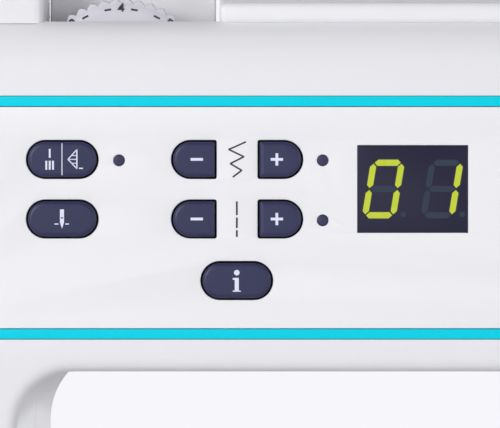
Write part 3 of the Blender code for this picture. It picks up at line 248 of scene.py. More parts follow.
white = finish_material("white moulded plastic", (0.83, 0.83, 0.85), 0.34, grain=0.25, tint=0.012, wear=0.03)
harp_right = 32 * MM
head_bottom = 122 * MM
head_left = casing_low.x
pillar_right = casing_high.x
pillar_bottom = casing_low.z
casing_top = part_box("rear_casing")[1][2]
casing_front = casing_low.y
casing_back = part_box("rear_casing")[1][1]
seam_front = casing_high.y
seam_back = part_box("rear_casing")[0][1]
wall = 3 * MM


def rounded(corners, steps):
    """Outline of straight runs joined by arcs; corners are (x, z, radius, first, last)."""
    points = []
    for x, z, radius, first, last in corners:
        middle = radians((first + last) / 2)
        centre = (x - copysign(radius, cos(middle)), z - copysign(radius, sin(middle)))
        for step in range(steps + 1):
            turn = radians(first + (last - first) * step / steps)
            points.append((centre[0] + radius * cos(turn), centre[1] + radius * sin(turn)))
    return points


def casing_outline(top, side, harp, foot, corner):
    small = 0.8 * MM

    def turned(radius, inset):
        return max(radius - inset, small)

    return rounded([
        (head_left + side, head_bottom + harp, turned(6 * MM, (side + harp) / 2), 180, 270),
        (harp_left - harp, head_bottom + harp, turned(6 * MM, harp), 270, 360),
        (harp_left - harp, arm_bottom + harp, corner + harp, 180, 90),
        (harp_right + harp, arm_bottom + harp, corner + harp, 90, 0),
        (harp_right + harp, pillar_bottom + foot, turned(1.5 * MM, foot), 180, 270),
        (pillar_right - side, pillar_bottom + foot, turned(1.5 * MM, foot), 270, 360),
        (pillar_right - side, casing_top - top, turned(16 * MM, (side + top) / 2), 0, 90),
        (head_left + side, casing_top - top, turned(16 * MM, (side + top) / 2), 90, 180),
    ], 12)


def round_over(distance, depth, height):
    if distance >= depth:
        return 0.0
    return height * (1 - (1 - (1 - max(distance, 0) / depth) ** 2) ** 0.5)


def casing_shell(name, face, towards, seam, top_round, top_inset, back_corner):
    depth = abs(seam - face)

    def ring(bm, distance, thick):
        behind = distance - thick
        top = thick + round_over(behind, top_round - thick, top_inset - thick)
        side = thick + round_over(behind, top_round - thick, top_round - thick)
        harp = thick + round_over(behind, 3 * MM, (3 if thick == 0 else 2.2) * MM)
        corner = 12.3 * MM + (1 - distance / depth) * (back_corner - 12.3 * MM)
        y = face + towards * distance
        return [bm.verts.new((x, y, z)) for x, z in casing_outline(top, side, harp, thick, corner)]

    inner = [depth, top_round, (top_round + wall) / 2, wall]
    outer = [top_round * (1 - cos(pi / 2 * step / 9)) for step in range(10)] + [3 * MM, depth]
    bm = bmesh.new()
    rings = [ring(bm, distance, wall) for distance in reversed(inner)]
    rings += [ring(bm, distance, 0) for distance in sorted(outer, reverse=True)]
    skin(bm, rings)
    bm.faces.new(rings[0])
    bm.faces.new(rings[-1])
    return from_bmesh(bm, name, white)


def cuboid(low, high):
    bm = bmesh.new()
    bmesh.ops.create_cube(bm, size=1)
    bmesh.ops.scale(bm, vec=Vector(high) - Vector(low), verts=bm.verts)
    bmesh.ops.translate(bm, vec=(Vector(high) + Vector(low)) / 2, verts=bm.verts)
    return bm


def box_cutter(low, high, edge=0.0):
    bm = cuboid(low, high)
    if edge:
        upright = [e for e in bm.edges if abs((e.verts[0].co - e.verts[1].co).y) > 1e-5]
        bmesh.ops.bevel(bm, geom=upright, offset=edge, segments=6, affect="EDGES", profile=0.5)
    return from_bmesh(bm, "cutter", white)


def tube_cutter(axis, start, length, radius):
    turn = {"X": Matrix.Rotation(pi / 2, 4, "Y"), "Y": Matrix.Rotation(-pi / 2, 4, "X")}[axis]
    bm = bmesh.new()
    bmesh.ops.create_cone(bm, cap_ends=True, segments=48, radius1=radius, radius2=radius, depth=length)
    bmesh.ops.translate(bm, vec=(0, 0, length / 2), verts=bm.verts)
    bm.transform(Matrix.Translation(start) @ turn)
    return from_bmesh(bm, "cutter", white)


def cut(obj, *cutters):
    """Cut each shape out, bake the result and drop the cutters."""
    name = obj.name
    for cutter in cutters:
        mod = obj.modifiers.new("cut", "BOOLEAN")
        mod.solver = "EXACT"
        mod.object = cutter
    made = bake(obj, name + " cut")
    for cutter in cutters:
        bpy.data.objects.remove(cutter, do_unlink=True)
    made.name = name
    return made


cover_low, cover_high = (Vector(v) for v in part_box("top_cover"))
gap = 0.3 * MM
opening = [(cover_low.x - gap, cover_low.y - gap), (cover_high.x + gap, cover_high.y + gap)]
needle_x = -138 * MM
reverse_low, reverse_high = (Vector(v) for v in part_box("reverse_button"))
upper_high = Vector(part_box("upper_trim")[1])
lower_low = Vector(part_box("lower_trim")[0])
outside = casing_front - 1 * MM
seat = panel_high.y + gap
grow = Vector((0.5 * MM, 0, 0.5 * MM))
front = casing_shell("arm_front_shell", casing_front, 1, seam_front, 10 * MM, 13 * MM, 12.3 * MM)
front = cut(front,
            box_cutter((needle_x - 3 * MM, outside, 176 * MM), (needle_x + 3 * MM, casing_front + 9 * MM, 238 * MM),
                       2.9 * MM),
            box_cutter((opening[0][0], opening[0][1], casing_top - 16 * MM),
                       (opening[1][0], seam_front + 1 * MM, casing_top + 1 * MM)),
            box_cutter((reverse_low.x - grow.x, outside, reverse_low.z - grow.z),
                       (reverse_high.x + grow.x, casing_front + 7 * MM, reverse_high.z + grow.z), 5.4 * MM),
            box_cutter((needle_x - 26 * MM, casing_front + 22 * MM, head_bottom - 1 * MM),
                       (needle_x + 26 * MM, seam_front + 1 * MM, head_bottom + 8 * MM)),
            box_cutter((panel_low.x - gap, outside, lower_low.z - gap),
                       (panel_high.x + gap, seat, upper_high.z + gap)),
            box_cutter((panel_low.x + 4 * MM, outside, lower_low.z + 4 * MM),
                       (panel_high.x - 4 * MM, seat + 4 * MM, upper_high.z - 4 * MM)))
fixed(front, stands_for=("front_casing",))

shaft_low, shaft_high = (Vector(v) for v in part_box("handwheel"))
shaft_middle = (shaft_low + shaft_high) / 2
rear = casing_shell("arm_rear_shell", casing_back, -1, seam_back, 10 * MM, 10 * MM, 18 * MM)
rear = cut(rear,
           box_cutter((opening[0][0], seam_back - 1 * MM, casing_top - 16 * MM),
                      (opening[1][0], opening[1][1], casing_top + 1 * MM)),
           box_cutter((needle_x - 26 * MM, seam_back - 1 * MM, head_bottom - 1 * MM),
                      (needle_x + 26 * MM, 21 * MM, head_bottom + 8 * MM)),
           tube_cutter("X", (pillar_right - 12 * MM, shaft_middle.y, shaft_middle.z), 20 * MM, 4.5 * MM),
           tube_cutter("Y", (-120 * MM, casing_back - 12 * MM, 148 * MM), 20 * MM, 5.5 * MM))
fixed(rear, stands_for=("rear_casing",))


# ------------------------------------------------------------------ control panel
# A thin inset plate with a fine matt film, held between two turquoise strips in a shallow
# seat. Symbols are screen printed; holes for buttons and lenses are punched.

panel_look = finish_material("panel film", (0.87, 0.868, 0.885), 0.42, grain=0.12, grain_size=2500, tint=0.006)
turquoise = finish_material("turquoise strip", (0.001, 0.66, 0.82), 0.5, grain=0.1, tint=0.05, specular=0.12)
# seam shadow: dark teal painted shadow for the narrow gaps beside the turquoise strips
seam_shadow_look = finish_material("seam shadow", (0.03, 0.2, 0.24), 0.6)
print_dark = finish_material("printed ink", (0.03, 0.03, 0.045), 0.55, tint=0.1)
lens_look = finish_material("indicator lens", (0.04, 0.038, 0.095), 0.45, specular=0.3)
# button well: near-black painted shade, seen through the gaps round the button caps
well_shade_look = finish_material("button well painted shade", (0.012, 0.012, 0.035), 0.6)

pill_width = 15.1 * MM
cap_height = 7.7 * MM
half_width = 9.15 * MM
hole_gap = 0.45 * MM
buttons = {
    "pattern_button": (harp_left + 10 * MM, arm_bottom + 46.8 * MM, "pill"),
    "needle_position_button": (harp_left + 10 * MM, arm_bottom + 33.7 * MM, "pill"),
    "width_minus_button": (harp_left + 38.95 * MM, arm_bottom + 46.8 * MM, "left"),
    "width_plus_button": (harp_left + 58 * MM, arm_bottom + 46.8 * MM, "right"),
    "length_minus_button": (harp_left + 38.95 * MM, arm_bottom + 33.7 * MM, "left"),
    "length_plus_button": (harp_left + 58 * MM, arm_bottom + 33.7 * MM, "right"),
    "information_button": (harp_left + 48.4 * MM, arm_bottom + 20.15 * MM, "pill"),
}


def cap_outline(x, z, shape, grow=0.0, steps=16):
    half_h = cap_height / 2 + grow
    half_w = (pill_width if shape == "pill" else half_width) / 2 + grow
    square = max(0.35 * MM + grow * 0.3, 0.12 * MM)
    left = square if shape == "right" else half_h
    right = square if shape == "left" else half_h
    corners = [(half_w, half_h, right, 0, 90), (-half_w, half_h, left, 90, 180),
               (-half_w, -half_h, left, 180, 270), (half_w, -half_h, right, 270, 360)]
    return rounded([(x + a, z + b, radius, first, last) for a, b, radius, first, last in corners], steps)


def circle(x, z, radius, steps=40):
    return [(x + radius * cos(2 * pi * i / steps), z + radius * sin(2 * pi * i / steps)) for i in range(steps)]


def rectangle(x0, z0, x1, z1):
    return [(x0, z0), (x1, z0), (x1, z1), (x0, z1)]


same_point = 0.002 * MM


def punched_plate(name, outline, holes, y_front, thick, material, edge=0.0):
    """A filled flat curve with holes, extruded and stood upright facing the front."""
    curve = bpy.data.curves.new(name, "CURVE")
    curve.dimensions = "2D"
    curve.fill_mode = "BOTH"
    curve.extrude = thick / 2 - edge
    curve.bevel_depth = edge
    curve.bevel_resolution = 2
    curve.offset = -edge
    for points in [outline, *holes]:
        points = [p for i, p in enumerate(points) if (Vector(p) - Vector(points[i - 1])).length > same_point]
        spline = curve.splines.new("POLY")
        spline.points.add(len(points) - 1)
        spline.use_cyclic_u = True
        for target, (x, z) in zip(spline.points, points):
            target.co = (x, z, 0, 1)
    obj = new_object(name + " curve", curve)
    obj.matrix_world = Matrix.Translation((0, y_front + thick / 2, 0)) @ Matrix.Rotation(pi / 2, 4, "X")
    made = bake(obj, name, 40)
    bm = bmesh.new()
    bm.from_mesh(made.data)
    bmesh.ops.remove_doubles(bm, verts=bm.verts, dist=same_point / 2)
    bmesh.ops.recalc_face_normals(bm, faces=bm.faces)
    bm.to_mesh(made.data)
    bm.free()
    made.data.materials.clear()
    made.data.materials.append(material)
    return made


lenses = {name: (Vector(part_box(name)[0]) + Vector(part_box(name)[1])) / 2
          for name in ("pattern_lens", "width_lens", "length_lens")}
lens_radius = 1.22 * MM
module_low, module_high = (Vector(v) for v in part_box("display_module"))
holes = [cap_outline(x, z, shape, hole_gap) for x, z, shape in buttons.values()]
holes += [circle(middle.x, middle.z, lens_radius + 0.08 * MM) for middle in lenses.values()]
holes.append(rectangle(module_low.x - 0.1 * MM, module_low.z - 0.1 * MM, module_high.x + 0.1 * MM,
                       module_high.z + 0.1 * MM))
plate = punched_plate("control_panel_plate", rectangle(panel_low.x, panel_low.z, panel_high.x, panel_high.z),
                      holes, panel_y, panel_high.y - panel_y, panel_look, 0.12 * MM)
fixed(plate, stands_for=("front_panel",))

# dark liners under the button holes: painted shade in the gaps round the caps
for name, (x, z, shape) in buttons.items():
    liner = punched_plate(name + "_well_shade", cap_outline(x, z, shape, 1.2 * MM), [cap_outline(x, z, shape, 0.12 * MM)],
                          panel_y + 1.2 * MM, 0.5 * MM, well_shade_look)
    fixed(liner)

strip_edge = 0.1 * MM
seam_side = 0.12 * MM
panel_side = 0.14 * MM
seam_width = 0.17 * MM
seam_depth = 0.06 * MM
for name, level in (("upper_trim", "upper"), ("lower_trim", "lower")):
    low, high = (Vector(v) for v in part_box(name))
    upper = level == "upper"
    top = high.z + (seam_side if upper else panel_side)
    bottom = low.z - (panel_side if upper else seam_side)
    bm = cuboid((low.x, low.y, bottom), (high.x, high.y, top))
    bmesh.ops.bevel(bm, geom=bm.edges, offset=strip_edge, segments=3, affect="EDGES", profile=0.5)
    fixed(from_bmesh(bm, level + "_colour_strip", turquoise), stands_for=(name,))
    # the dark line at each strip's outer edge is painted shadow of the gap there
    seam_low, seam_high = (top, top + seam_width) if upper else (bottom - seam_width, bottom)
    fixed(punched_plate(level + "_seam_shadow_line", rectangle(low.x, seam_low, high.x, seam_high), [],
                        panel_y + seam_depth, 0.8 * MM, seam_shadow_look))


def print_on(name, shapes, y, material, body="machine", thick=0.05 * MM):
    """Thin closed plates for printed symbols, each shape a flat outline."""
    bm = bmesh.new()
    for points in shapes:
        rings = [[bm.verts.new((x, depth, z)) for x, z in points] for depth in (y - thick, y)]
        skin(bm, rings)
        bm.faces.new(rings[0])
        bm.faces.new(rings[1])
    return fixed(from_bmesh(bm, name, material), body)


def stroke(start, end, width):
    """A straight line of a given width as an outline."""
    a, b = Vector(start), Vector(end)
    along = (b - a).normalized() * width / 2
    across = Vector((-along.y, along.x))
    return [tuple(v) for v in (a - along * 0.3 + across, a - along * 0.3 - across, b + along * 0.3 - across,
                               b + along * 0.3 + across)]


zigzag = [(1.85, 3.85), (-1.87, 2.2), (1.45, 0.6), (-1.54, -0.92), (0.97, -2.4), (-0.95, -3.85)]
zig_x, zig_z = harp_left + 48.5 * MM, arm_bottom + 46.8 * MM
points = [(zig_x + a * MM, zig_z + b * MM) for a, b in zigzag]
for i, (a, b) in enumerate(zip(points, points[1:])):
    print_on(f"printed_zigzag_{i}", [stroke(a, b, 0.36 * MM)], panel_y - (i % 2) * 0.004 * MM, print_dark)
dash_x, dash_z = harp_left + 48.4 * MM, arm_bottom + 33.7 * MM
dashes = [stroke((dash_x, dash_z + a * MM), (dash_x, dash_z + b * MM), 0.4 * MM)
          for a, b in ((3.8, 0.9), (0.25, -1.92), (-2.52, -3.9))]
print_on("printed_running_stitch", dashes, panel_y, print_dark)

lens_profile = [(0.5, -0.1), (0.85, -0.03), (1.0, 0.08), (1.0, 2.6)]
lens_crown = 0.12 * MM
lens_sides = 32
for name, middle in lenses.items():
    bm = bmesh.new()
    turns = [2 * pi * i / lens_sides for i in range(lens_sides)]
    rings = [[bm.verts.new((middle.x + lens_radius * share * cos(a), panel_y + depth * MM,
                            middle.z + lens_radius * share * sin(a))) for a in turns]
             for share, depth in lens_profile]
    tip = bm.verts.new((middle.x, panel_y - lens_crown, middle.z))
    for i in range(lens_sides):
        bm.faces.new((tip, rings[0][i], rings[0][(i + 1) % lens_sides]))
    skin(bm, rings)
    bm.faces.new(rings[-1])
    fixed(from_bmesh(bm, name + "_dome", lens_look), stands_for=(name,))


# ------------------------------------------------------------------ stitch display
# A two-digit light-emitting module. Its tinted window is flush with the panel, and the
# segments glow yellow-green behind it; unlit segments and points just show.

window_look = finish_material("tinted window", (0.018, 0.017, 0.045), 0.3, grain=0.08, grain_size=3500, tint=0.35,
                              specular=0.25)
ghost_look = finish_material("unlit segment", (0.028, 0.042, 0.07), 0.4, tint=0.1, specular=0.25)
rim_look = finish_material("segment outline", (0.012, 0.012, 0.03), 0.4)
lit_look = bpy.data.materials.new("lit segment")
lit_look.use_nodes = True
lit_tree = lit_look.node_tree
lit_shader = lit_tree.nodes["Principled BSDF"]
lit_place = Shade(lit_tree, lit_tree.nodes.new("ShaderNodeTexCoord").outputs["Object"])
glow = lit_place.noise(900.0, 2.0).colours((0.58, 0.72, 0.01), (0.78, 0.88, 0.03))
lit_tree.links.new(glow.socket, lit_shader.inputs["Emission Color"])
lit_shader.inputs["Base Color"].default_value = (0.1, 0.12, 0.01, 1)
lit_shader.inputs["Emission Strength"].default_value = 0.62
lit_shader.inputs["Roughness"].default_value = 0.4

bm = cuboid(module_low, module_high)
bmesh.ops.bevel(bm, geom=bm.edges, offset=0.15 * MM, segments=3, affect="EDGES", profile=0.5)
fixed(from_bmesh(bm, "stitch_display", window_look), stands_for=("display_module",))

digit_height = 12.9 * MM
digit_width = 7.5 * MM
stroke_width = 1.35 * MM
lean = radians(9.5)
half_h = (digit_height - stroke_width) / 2
half_w = (digit_width - stroke_width) / 2
segment_ends = {
    "a": ((-half_w, half_h), (half_w, half_h)), "b": ((half_w, half_h), (half_w, 0)),
    "c": ((half_w, 0), (half_w, -half_h)), "d": ((-half_w, -half_h), (half_w, -half_h)),
    "e": ((-half_w, 0), (-half_w, -half_h)), "f": ((-half_w, half_h), (-half_w, 0)),
    "g": ((-half_w, 0), (half_w, 0)),
}


def segment(ends, width, space):
    """A six-sided bar with pointed ends."""
    a, b = (Vector(p) for p in ends)
    along = (b - a).normalized()
    across = Vector((-along.y, along.x)) * width / 2
    a = a + along * space
    b = b - along * space
    tip = along * width / 2
    return [a, a + tip + across, b - tip + across, b, b - tip - across, a + tip - across]


def on_window(points, centre):
    return [(centre[0] + p[0] + p[1] * sin(lean), centre[1] + p[1]) for p in points]


window_middle = (module_low + module_high) / 2
for side, lit in ((-1, "abcdef"), (1, "bc")):
    centre = (window_middle.x + side * 6.45 * MM, window_middle.z)
    label = "left" if side < 0 else "right"
    bright = [on_window(segment(segment_ends[s], stroke_width, 0.22 * MM), centre) for s in lit]
    edges = [on_window(segment(segment_ends[s], stroke_width + 0.5 * MM, -0.02 * MM), centre) for s in lit]
    faint = [on_window(segment(segment_ends[s], stroke_width, 0.22 * MM), centre)
             for s in segment_ends if s not in lit]
    faint.append(circle(centre[0] + 4.4 * MM, centre[1] - 5.6 * MM, 0.6 * MM, 20))
    for i, outline in enumerate(edges):
        print_on(f"segment_edge_{label}_{i}", [outline], panel_y - 0.004 * MM * (i % 2), rim_look, thick=0.02 * MM)
    print_on(f"unlit_{label}_digit", faint, panel_y, ghost_look, thick=0.03 * MM)
    print_on(f"lit_{label}_digit", bright, panel_y, lit_look)


# ------------------------------------------------------------------ push buttons
# Navy caps moulded in a soft-touch plastic, with rolled edges that catch the light. Each
# slides in its hole on a spring, and the pale symbols are printed on the caps.

cap_look = finish_material("navy button plastic", (0.026, 0.028, 0.088), 0.4, grain=0.7, grain_size=2600,
                           tint=0.5, wear=0.04, specular=0.4)
symbol_look = finish_material("symbol ink", (0.76, 0.79, 0.93), 0.5, tint=0.02)
cap_front = Vector(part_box("pattern_button")[0]).y
cap_back = Vector(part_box("pattern_button")[1]).y

roll = 1.0 * MM
roll_depth = 0.7 * MM
roll_steps = 6
dish = 0.12 * MM
for name, (x, z, shape) in buttons.items():
    bm = bmesh.new()
    rings = []
    for step in range(roll_steps + 1):
        turn = pi / 2 * step / roll_steps
        depth = cap_front + roll_depth * (1 - cos(turn))
        rings.append([bm.verts.new((a, depth, b)) for a, b in cap_outline(x, z, shape, roll * (sin(turn) - 1))])
    rings.append([bm.verts.new((a, cap_back, b)) for a, b in cap_outline(x, z, shape)])
    middle = bm.verts.new((x, cap_front + dish, z))
    for i in range(len(rings[0])):
        bm.faces.new((middle, rings[0][i], rings[0][(i + 1) % len(rings[0])]))
    skin(bm, rings)
    bm.faces.new(rings[-1])
    bmesh.ops.remove_doubles(bm, verts=bm.verts, dist=same_point)
    fixed(from_bmesh(bm, name + "_cap", cap_look, 50), name, stands_for=(name,))


def bar(x0, z0, x1, z1):
    return [(x0 * MM, z0 * MM), (x1 * MM, z0 * MM), (x1 * MM, z1 * MM), (x0 * MM, z1 * MM)]


def line(start, end, width):
    return stroke((start[0] * MM, start[1] * MM), (end[0] * MM, end[1] * MM), width * MM)


minus = [bar(-0.69, -0.3, 2.01, 0.3)]
plus = [bar(-2.15, -0.3, 0.55, 0.3), bar(-1.1, 0.3, -0.5, 1.35), bar(-1.1, -1.35, -0.5, -0.3)]
info = [circle(0, 1.76 * MM, 0.62 * MM, 24), bar(-0.46, -2.18, 0.44, 0.64), bar(-0.9, 0.2, -0.46, 0.6),
        bar(-0.9, -2.42, 0.86, -2.18)]
needle_sign = [[(-0.45 * MM, 2.1 * MM), (-0.45 * MM, 0.42 * MM), (0.45 * MM, 0.42 * MM), (0.45 * MM, 2.1 * MM)],
               [(-0.45 * MM, 0.1 * MM), (-0.45 * MM, -0.75 * MM), (0, -2.1 * MM), (0.45 * MM, -0.75 * MM),
                (0.45 * MM, 0.1 * MM)],
               bar(-0.45, 0.1, -0.2, 0.42), bar(0.2, 0.1, 0.45, 0.42),
               bar(-1.65, -1.22, -0.8, -0.98), bar(0.7, -1.22, 1.54, -0.98)]
pattern_sign = [bar(-2.9, 0.37, -2.5, 2.3), bar(-0.1, -3.5, 0.1, 3.5), bar(3.74, -2.1, 4.6, -1.83)]
pattern_sign += [bar(a - 0.21, -2.27, a + 0.21, -0.3) for a in (-3.45, -2.7, -1.98)]
pattern_sign += [line((1.3, 0), (3.26, 2.16), 0.24), line((1.3, 0), (3.26, -2.05), 0.24),
                 line((3.26, 2.16), (3.26, -2.05), 0.3), line((1.4, 0), (3.2, 0), 0.2),
                 line((2.1, 0.85), (3.2, 0.85), 0.2), line((2.1, -0.85), (3.2, -0.85), 0.2)]
signs = {"pattern_button": pattern_sign, "needle_position_button": needle_sign, "width_minus_button": minus,
         "length_minus_button": minus, "width_plus_button": plus, "length_plus_button": plus,
         "information_button": info}
for name, shapes in signs.items():
    x, z = buttons[name][:2]
    for i, points in enumerate(shapes):
        placed = [[(x + a, z + b) for a, b in points]]
        print_on(f"{name}_sign_{i}", placed, cap_front + 0.13 * MM, symbol_look, name, thick=0.17 * MM)


# ------------------------------------------------------------------ tension dial
# A pale moulded wheel that turns on the tension assembly. Its face carries printed
# numbers and marks, and its rim has grip teeth. It stands out of the top cover.

# the dial's grey is partly its own pale grey plastic and partly painted shade of the recess it sits in
dial_grey_and_shade_look = finish_material("dial plastic and painted shade", (0.64, 0.63, 0.69), 0.34, grain=0.3, tint=0.02)
dial_low, dial_high = (Vector(v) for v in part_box("tension_dial"))
dial_middle = (dial_low + dial_high) / 2
dial_radius = (dial_high.x - dial_low.x) / 2
dial_thick = dial_high.y - dial_low.y
teeth = 46
tooth_depth = 0.95 * MM
face_radius = dial_radius - 1.5 * MM
steps = teeth * 4
loops = []


def dial_ring(bm, depth, radius_at):
    turns = [2 * pi * i / steps for i in range(steps)]
    loops.append([bm.verts.new((dial_middle.x + radius_at(a) * cos(a), dial_low.y + depth,
                                dial_middle.z + radius_at(a) * sin(a))) for a in turns])


bm = bmesh.new()
for share, depth in ((0.9, 0), (0.96, 0.1 * MM), (1, 0.5 * MM), (1.003, 1.3 * MM)):
    dial_ring(bm, depth, lambda a: face_radius * share)
for depth, shrink in ((1.4 * MM, 0.25 * MM), (2 * MM, 0), (dial_thick - 0.6 * MM, 0), (dial_thick, 0.4 * MM)):
    dial_ring(bm, depth, lambda a: dial_radius - shrink - tooth_depth * (1 - (0.5 + 0.5 * cos(teeth * a)) ** 0.6))
bm.faces.new(loops[0])
bm.faces.new(loops[-1])
skin(bm, loops)
fixed(from_bmesh(bm, "thread_tension_wheel", dial_grey_and_shade_look), "dial", stands_for=("tension_dial",))

number_ring = 18 * MM
number_size = 3.3 * MM
number_step = 36
top_number = 4
mark_offset = 9.5
mark_half = 2.2
mark_width = 0.42 * MM


def on_ring(degrees):
    turn = radians(degrees)
    return dial_middle.x + number_ring * cos(turn), dial_middle.z + number_ring * sin(turn)


for value in range(10):
    angle = 90 - (value - top_number) * number_step
    text = bpy.data.curves.new("number", "FONT")
    text.body = str(value)
    text.size = number_size
    text.align_x = "CENTER"
    text.align_y = "CENTER"
    text.extrude = 0.04 * MM
    text.offset = 0.05 * MM
    obj = new_object("number", text)
    x, z = on_ring(angle)
    obj.matrix_world = (Matrix.Translation((x, dial_low.y + 0.06 * MM, z))
                        @ Matrix.Rotation(pi / 2 - radians(angle), 4, "Y") @ Matrix.Rotation(pi / 2, 4, "X"))
    number = bake(obj, f"dial_number_{value}")
    number.data.materials.append(print_dark)
    fixed(number, "dial")
    for side, label in ((-1, "low"), (1, "high")):
        middle = angle + side * mark_offset
        mark = stroke(on_ring(middle - mark_half), on_ring(middle + mark_half), mark_width)
        print_on(f"dial_mark_{value}_{label}", [mark], dial_low.y + 0.04 * MM, print_dark, "dial")


# ------------------------------------------------------------------ top of the arm
# Lid, raised end block and the sunk tray between them: white ABS mouldings with rolled
# edges. The lid's front lip laps a little over the casing's edge; it swings on the back.

body_names = {node: body for body, nodes in frame["record"]["behaviour"]["bodies"].items() for node in nodes}
hard_angle = radians(28)


def source_mesh(node):
    """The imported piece's surface with its flat faces merged."""
    obj = frame["nodes"][node]
    bm = bmesh.new()
    bm.from_mesh(obj.data)
    bm.transform(obj.matrix_world)
    bmesh.ops.remove_doubles(bm, verts=bm.verts, dist=0.002 * MM)
    bmesh.ops.dissolve_limit(bm, angle_limit=radians(1), verts=bm.verts, edges=bm.edges)
    return bm


def roll_edges(bm, width, steps=3):
    hard = [e for e in bm.edges if len(e.link_faces) == 2 and e.calc_face_angle(0) > hard_angle]
    bmesh.ops.bevel(bm, geom=hard, offset=width, segments=steps, affect="EDGES", profile=0.5, clamp_overlap=True)


def refined(node, material, width=0.0, bm=None):
    """The piece with its hard edges rolled over, in its own finish."""
    bm = bm or source_mesh(node)
    if width:
        roll_edges(bm, width)
    return fixed(from_bmesh(bm, node + "_finished", material, correct=False), body_names[node], (node,))


grey_plastic = finish_material("grey moulded plastic", (0.36, 0.365, 0.39), 0.42, grain=0.4, tint=0.03)
steel = finish_material("polished steel", (0.66, 0.66, 0.68), 0.24, metallic=1.0, tint=0.03, streak=(1, 1, 8))

refined("top_cover", white, 0.4)
block_low, block_high = (Vector(v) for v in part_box("thread_guide_cover"))
block_edge = 2.2 * MM
lip_drop = 1.15 * MM
bm = cuboid(block_low, block_high)
rolled = [e for e in bm.edges if max(v.co.z for v in e.verts) > block_low.z + MM]
bmesh.ops.bevel(bm, geom=rolled, offset=block_edge, segments=5, affect="EDGES", profile=0.5)
for vert in bm.verts:
    if vert.co.z < block_low.z + MM and vert.co.y < block_low.y + 2.5 * MM:
        vert.co.z -= lip_drop
block_wall = Vector((wall, wall, wall))
hollow_low = block_low + block_wall
hollow_low.z = block_low.z - 2 * MM
slot_left = needle_x + 7 * MM
slot_right = needle_x + 9.5 * MM
slot_length = 30 * MM
block = cut(from_bmesh(bm, "thread_guide_block", white),
            box_cutter(hollow_low, block_high - block_wall),
            box_cutter((slot_left, block_low.y - MM, block_low.z - 3 * MM),
                       (slot_right, block_low.y + slot_length, block_high.z + MM)))
fixed(block, stands_for=("thread_guide_cover",))

inner_drop = 0.35 * MM
lid_low = Vector(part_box("top_lid")[0])
bm = source_mesh("top_lid")
underside = [f for f in bm.faces if f.normal.z < -0.9 and f.calc_center_median().z < lid_low.z + MM]
bmesh.ops.triangulate(bm, faces=underside)
for vert in bm.verts:
    if vert.co.z < lid_low.z + 0.1 * MM and vert.co.y < lid_low.y + 5 * MM:
        vert.co.z -= lip_drop if vert.co.y < lid_low.y + 0.5 * MM else inner_drop
refined("top_lid", white, 0.5, bm)
refined("spool_pin", grey_plastic)
refined("spool_cap", grey_plastic, 0.4)
refined("winder_spindle", steel)
refined("carry_handle", white, 0.8)


# ------------------------------------------------------------------ sewing head
# The working end: steel bars, take-up lever, foot and needle, a lamp lens, and the
# reverse button. A face cover closes the left end, and one screw holds it.

wire_look = finish_material("bright spring wire", (0.7, 0.7, 0.72), 0.2, metallic=1.0, tint=0.02)
lamp_look = finish_material("lamp lens", (0.82, 0.82, 0.78), 0.25, transmission=0.6)
needle_steel = finish_material("needle steel", (0.72, 0.72, 0.74), 0.16, metallic=1.0, tint=0.02)


def wire(name, points, radius, body="machine"):
    """Bent round wire through the points."""
    curve = bpy.data.curves.new(name, "CURVE")
    curve.dimensions = "3D"
    curve.bevel_depth = radius
    curve.bevel_resolution = 4
    curve.use_fill_caps = True
    spline = curve.splines.new("BEZIER")
    spline.bezier_points.add(len(points) - 1)
    for knot, point in zip(spline.bezier_points, points):
        knot.co = point
        knot.handle_left_type = knot.handle_right_type = "AUTO"
    made = bake(new_object(name, curve), name + "_wire")
    made.data.materials.append(wire_look)
    return fixed(made, body)


def node_tree(name, inputs):
    """An empty Geometry Nodes tree with its inputs, and helpers to add and link nodes."""
    tree = bpy.data.node_groups.new(name, "GeometryNodeTree")
    tree.interface.new_socket("Geometry", in_out="INPUT", socket_type="NodeSocketGeometry")
    for label, kind in inputs.items():
        tree.interface.new_socket(label, in_out="INPUT", socket_type="NodeSocket" + kind)
    tree.interface.new_socket("Geometry", in_out="OUTPUT", socket_type="NodeSocketGeometry")
    start = tree.nodes.new("NodeGroupInput")
    end = tree.nodes.new("NodeGroupOutput")

    def add(kind, settings=None, **links):
        node = tree.nodes.new(kind)
        for key, value in (settings or {}).items():
            setattr(node, key, value)
        for key, value in links.items():
            socket = next(s for s in node.inputs if s.name == key.replace("_", " ") and s.enabled)
            if isinstance(value, bpy.types.NodeSocket):
                tree.links.new(value, socket)
            else:
                socket.default_value = value
        return node

    def close(geometry):
        real = add("GeometryNodeRealizeInstances", Geometry=geometry)
        painted = add("GeometryNodeSetMaterial", Geometry=real.outputs[0], Material=start.outputs["Material"])
        tree.links.new(painted.outputs[0], end.inputs[0])

    return tree, start.outputs, add, close


def repeat(name, places, tree, values):
    """Points run through the tree and baked to one plain mesh."""
    mesh = bpy.data.meshes.new(name)
    mesh.from_pydata(places, [], [])
    obj = new_object(name, mesh)
    mod = obj.modifiers.new("pattern", "NODES")
    mod.node_group = tree
    for item in tree.interface.items_tree:
        if item.in_out == "INPUT" and item.name in values:
            mod[item.identifier] = values[item.name]
    made = bake(obj, name + " baked")
    made.name = name
    return made


screw_tree, given, add, close = node_tree(
    "cross-head screws", {"Radius": "Float", "Height": "Float", "Slot": "Float", "Facing": "Vector",
                          "Seed": "Int", "Material": "Material"})

def times(value, factor):
    """A number socket multiplied in the tree being made."""
    node = add("ShaderNodeMath", {"operation": "MULTIPLY"})
    node.id_data.links.new(value, node.inputs[0])
    node.inputs[1].default_value = factor
    return node.outputs[0]


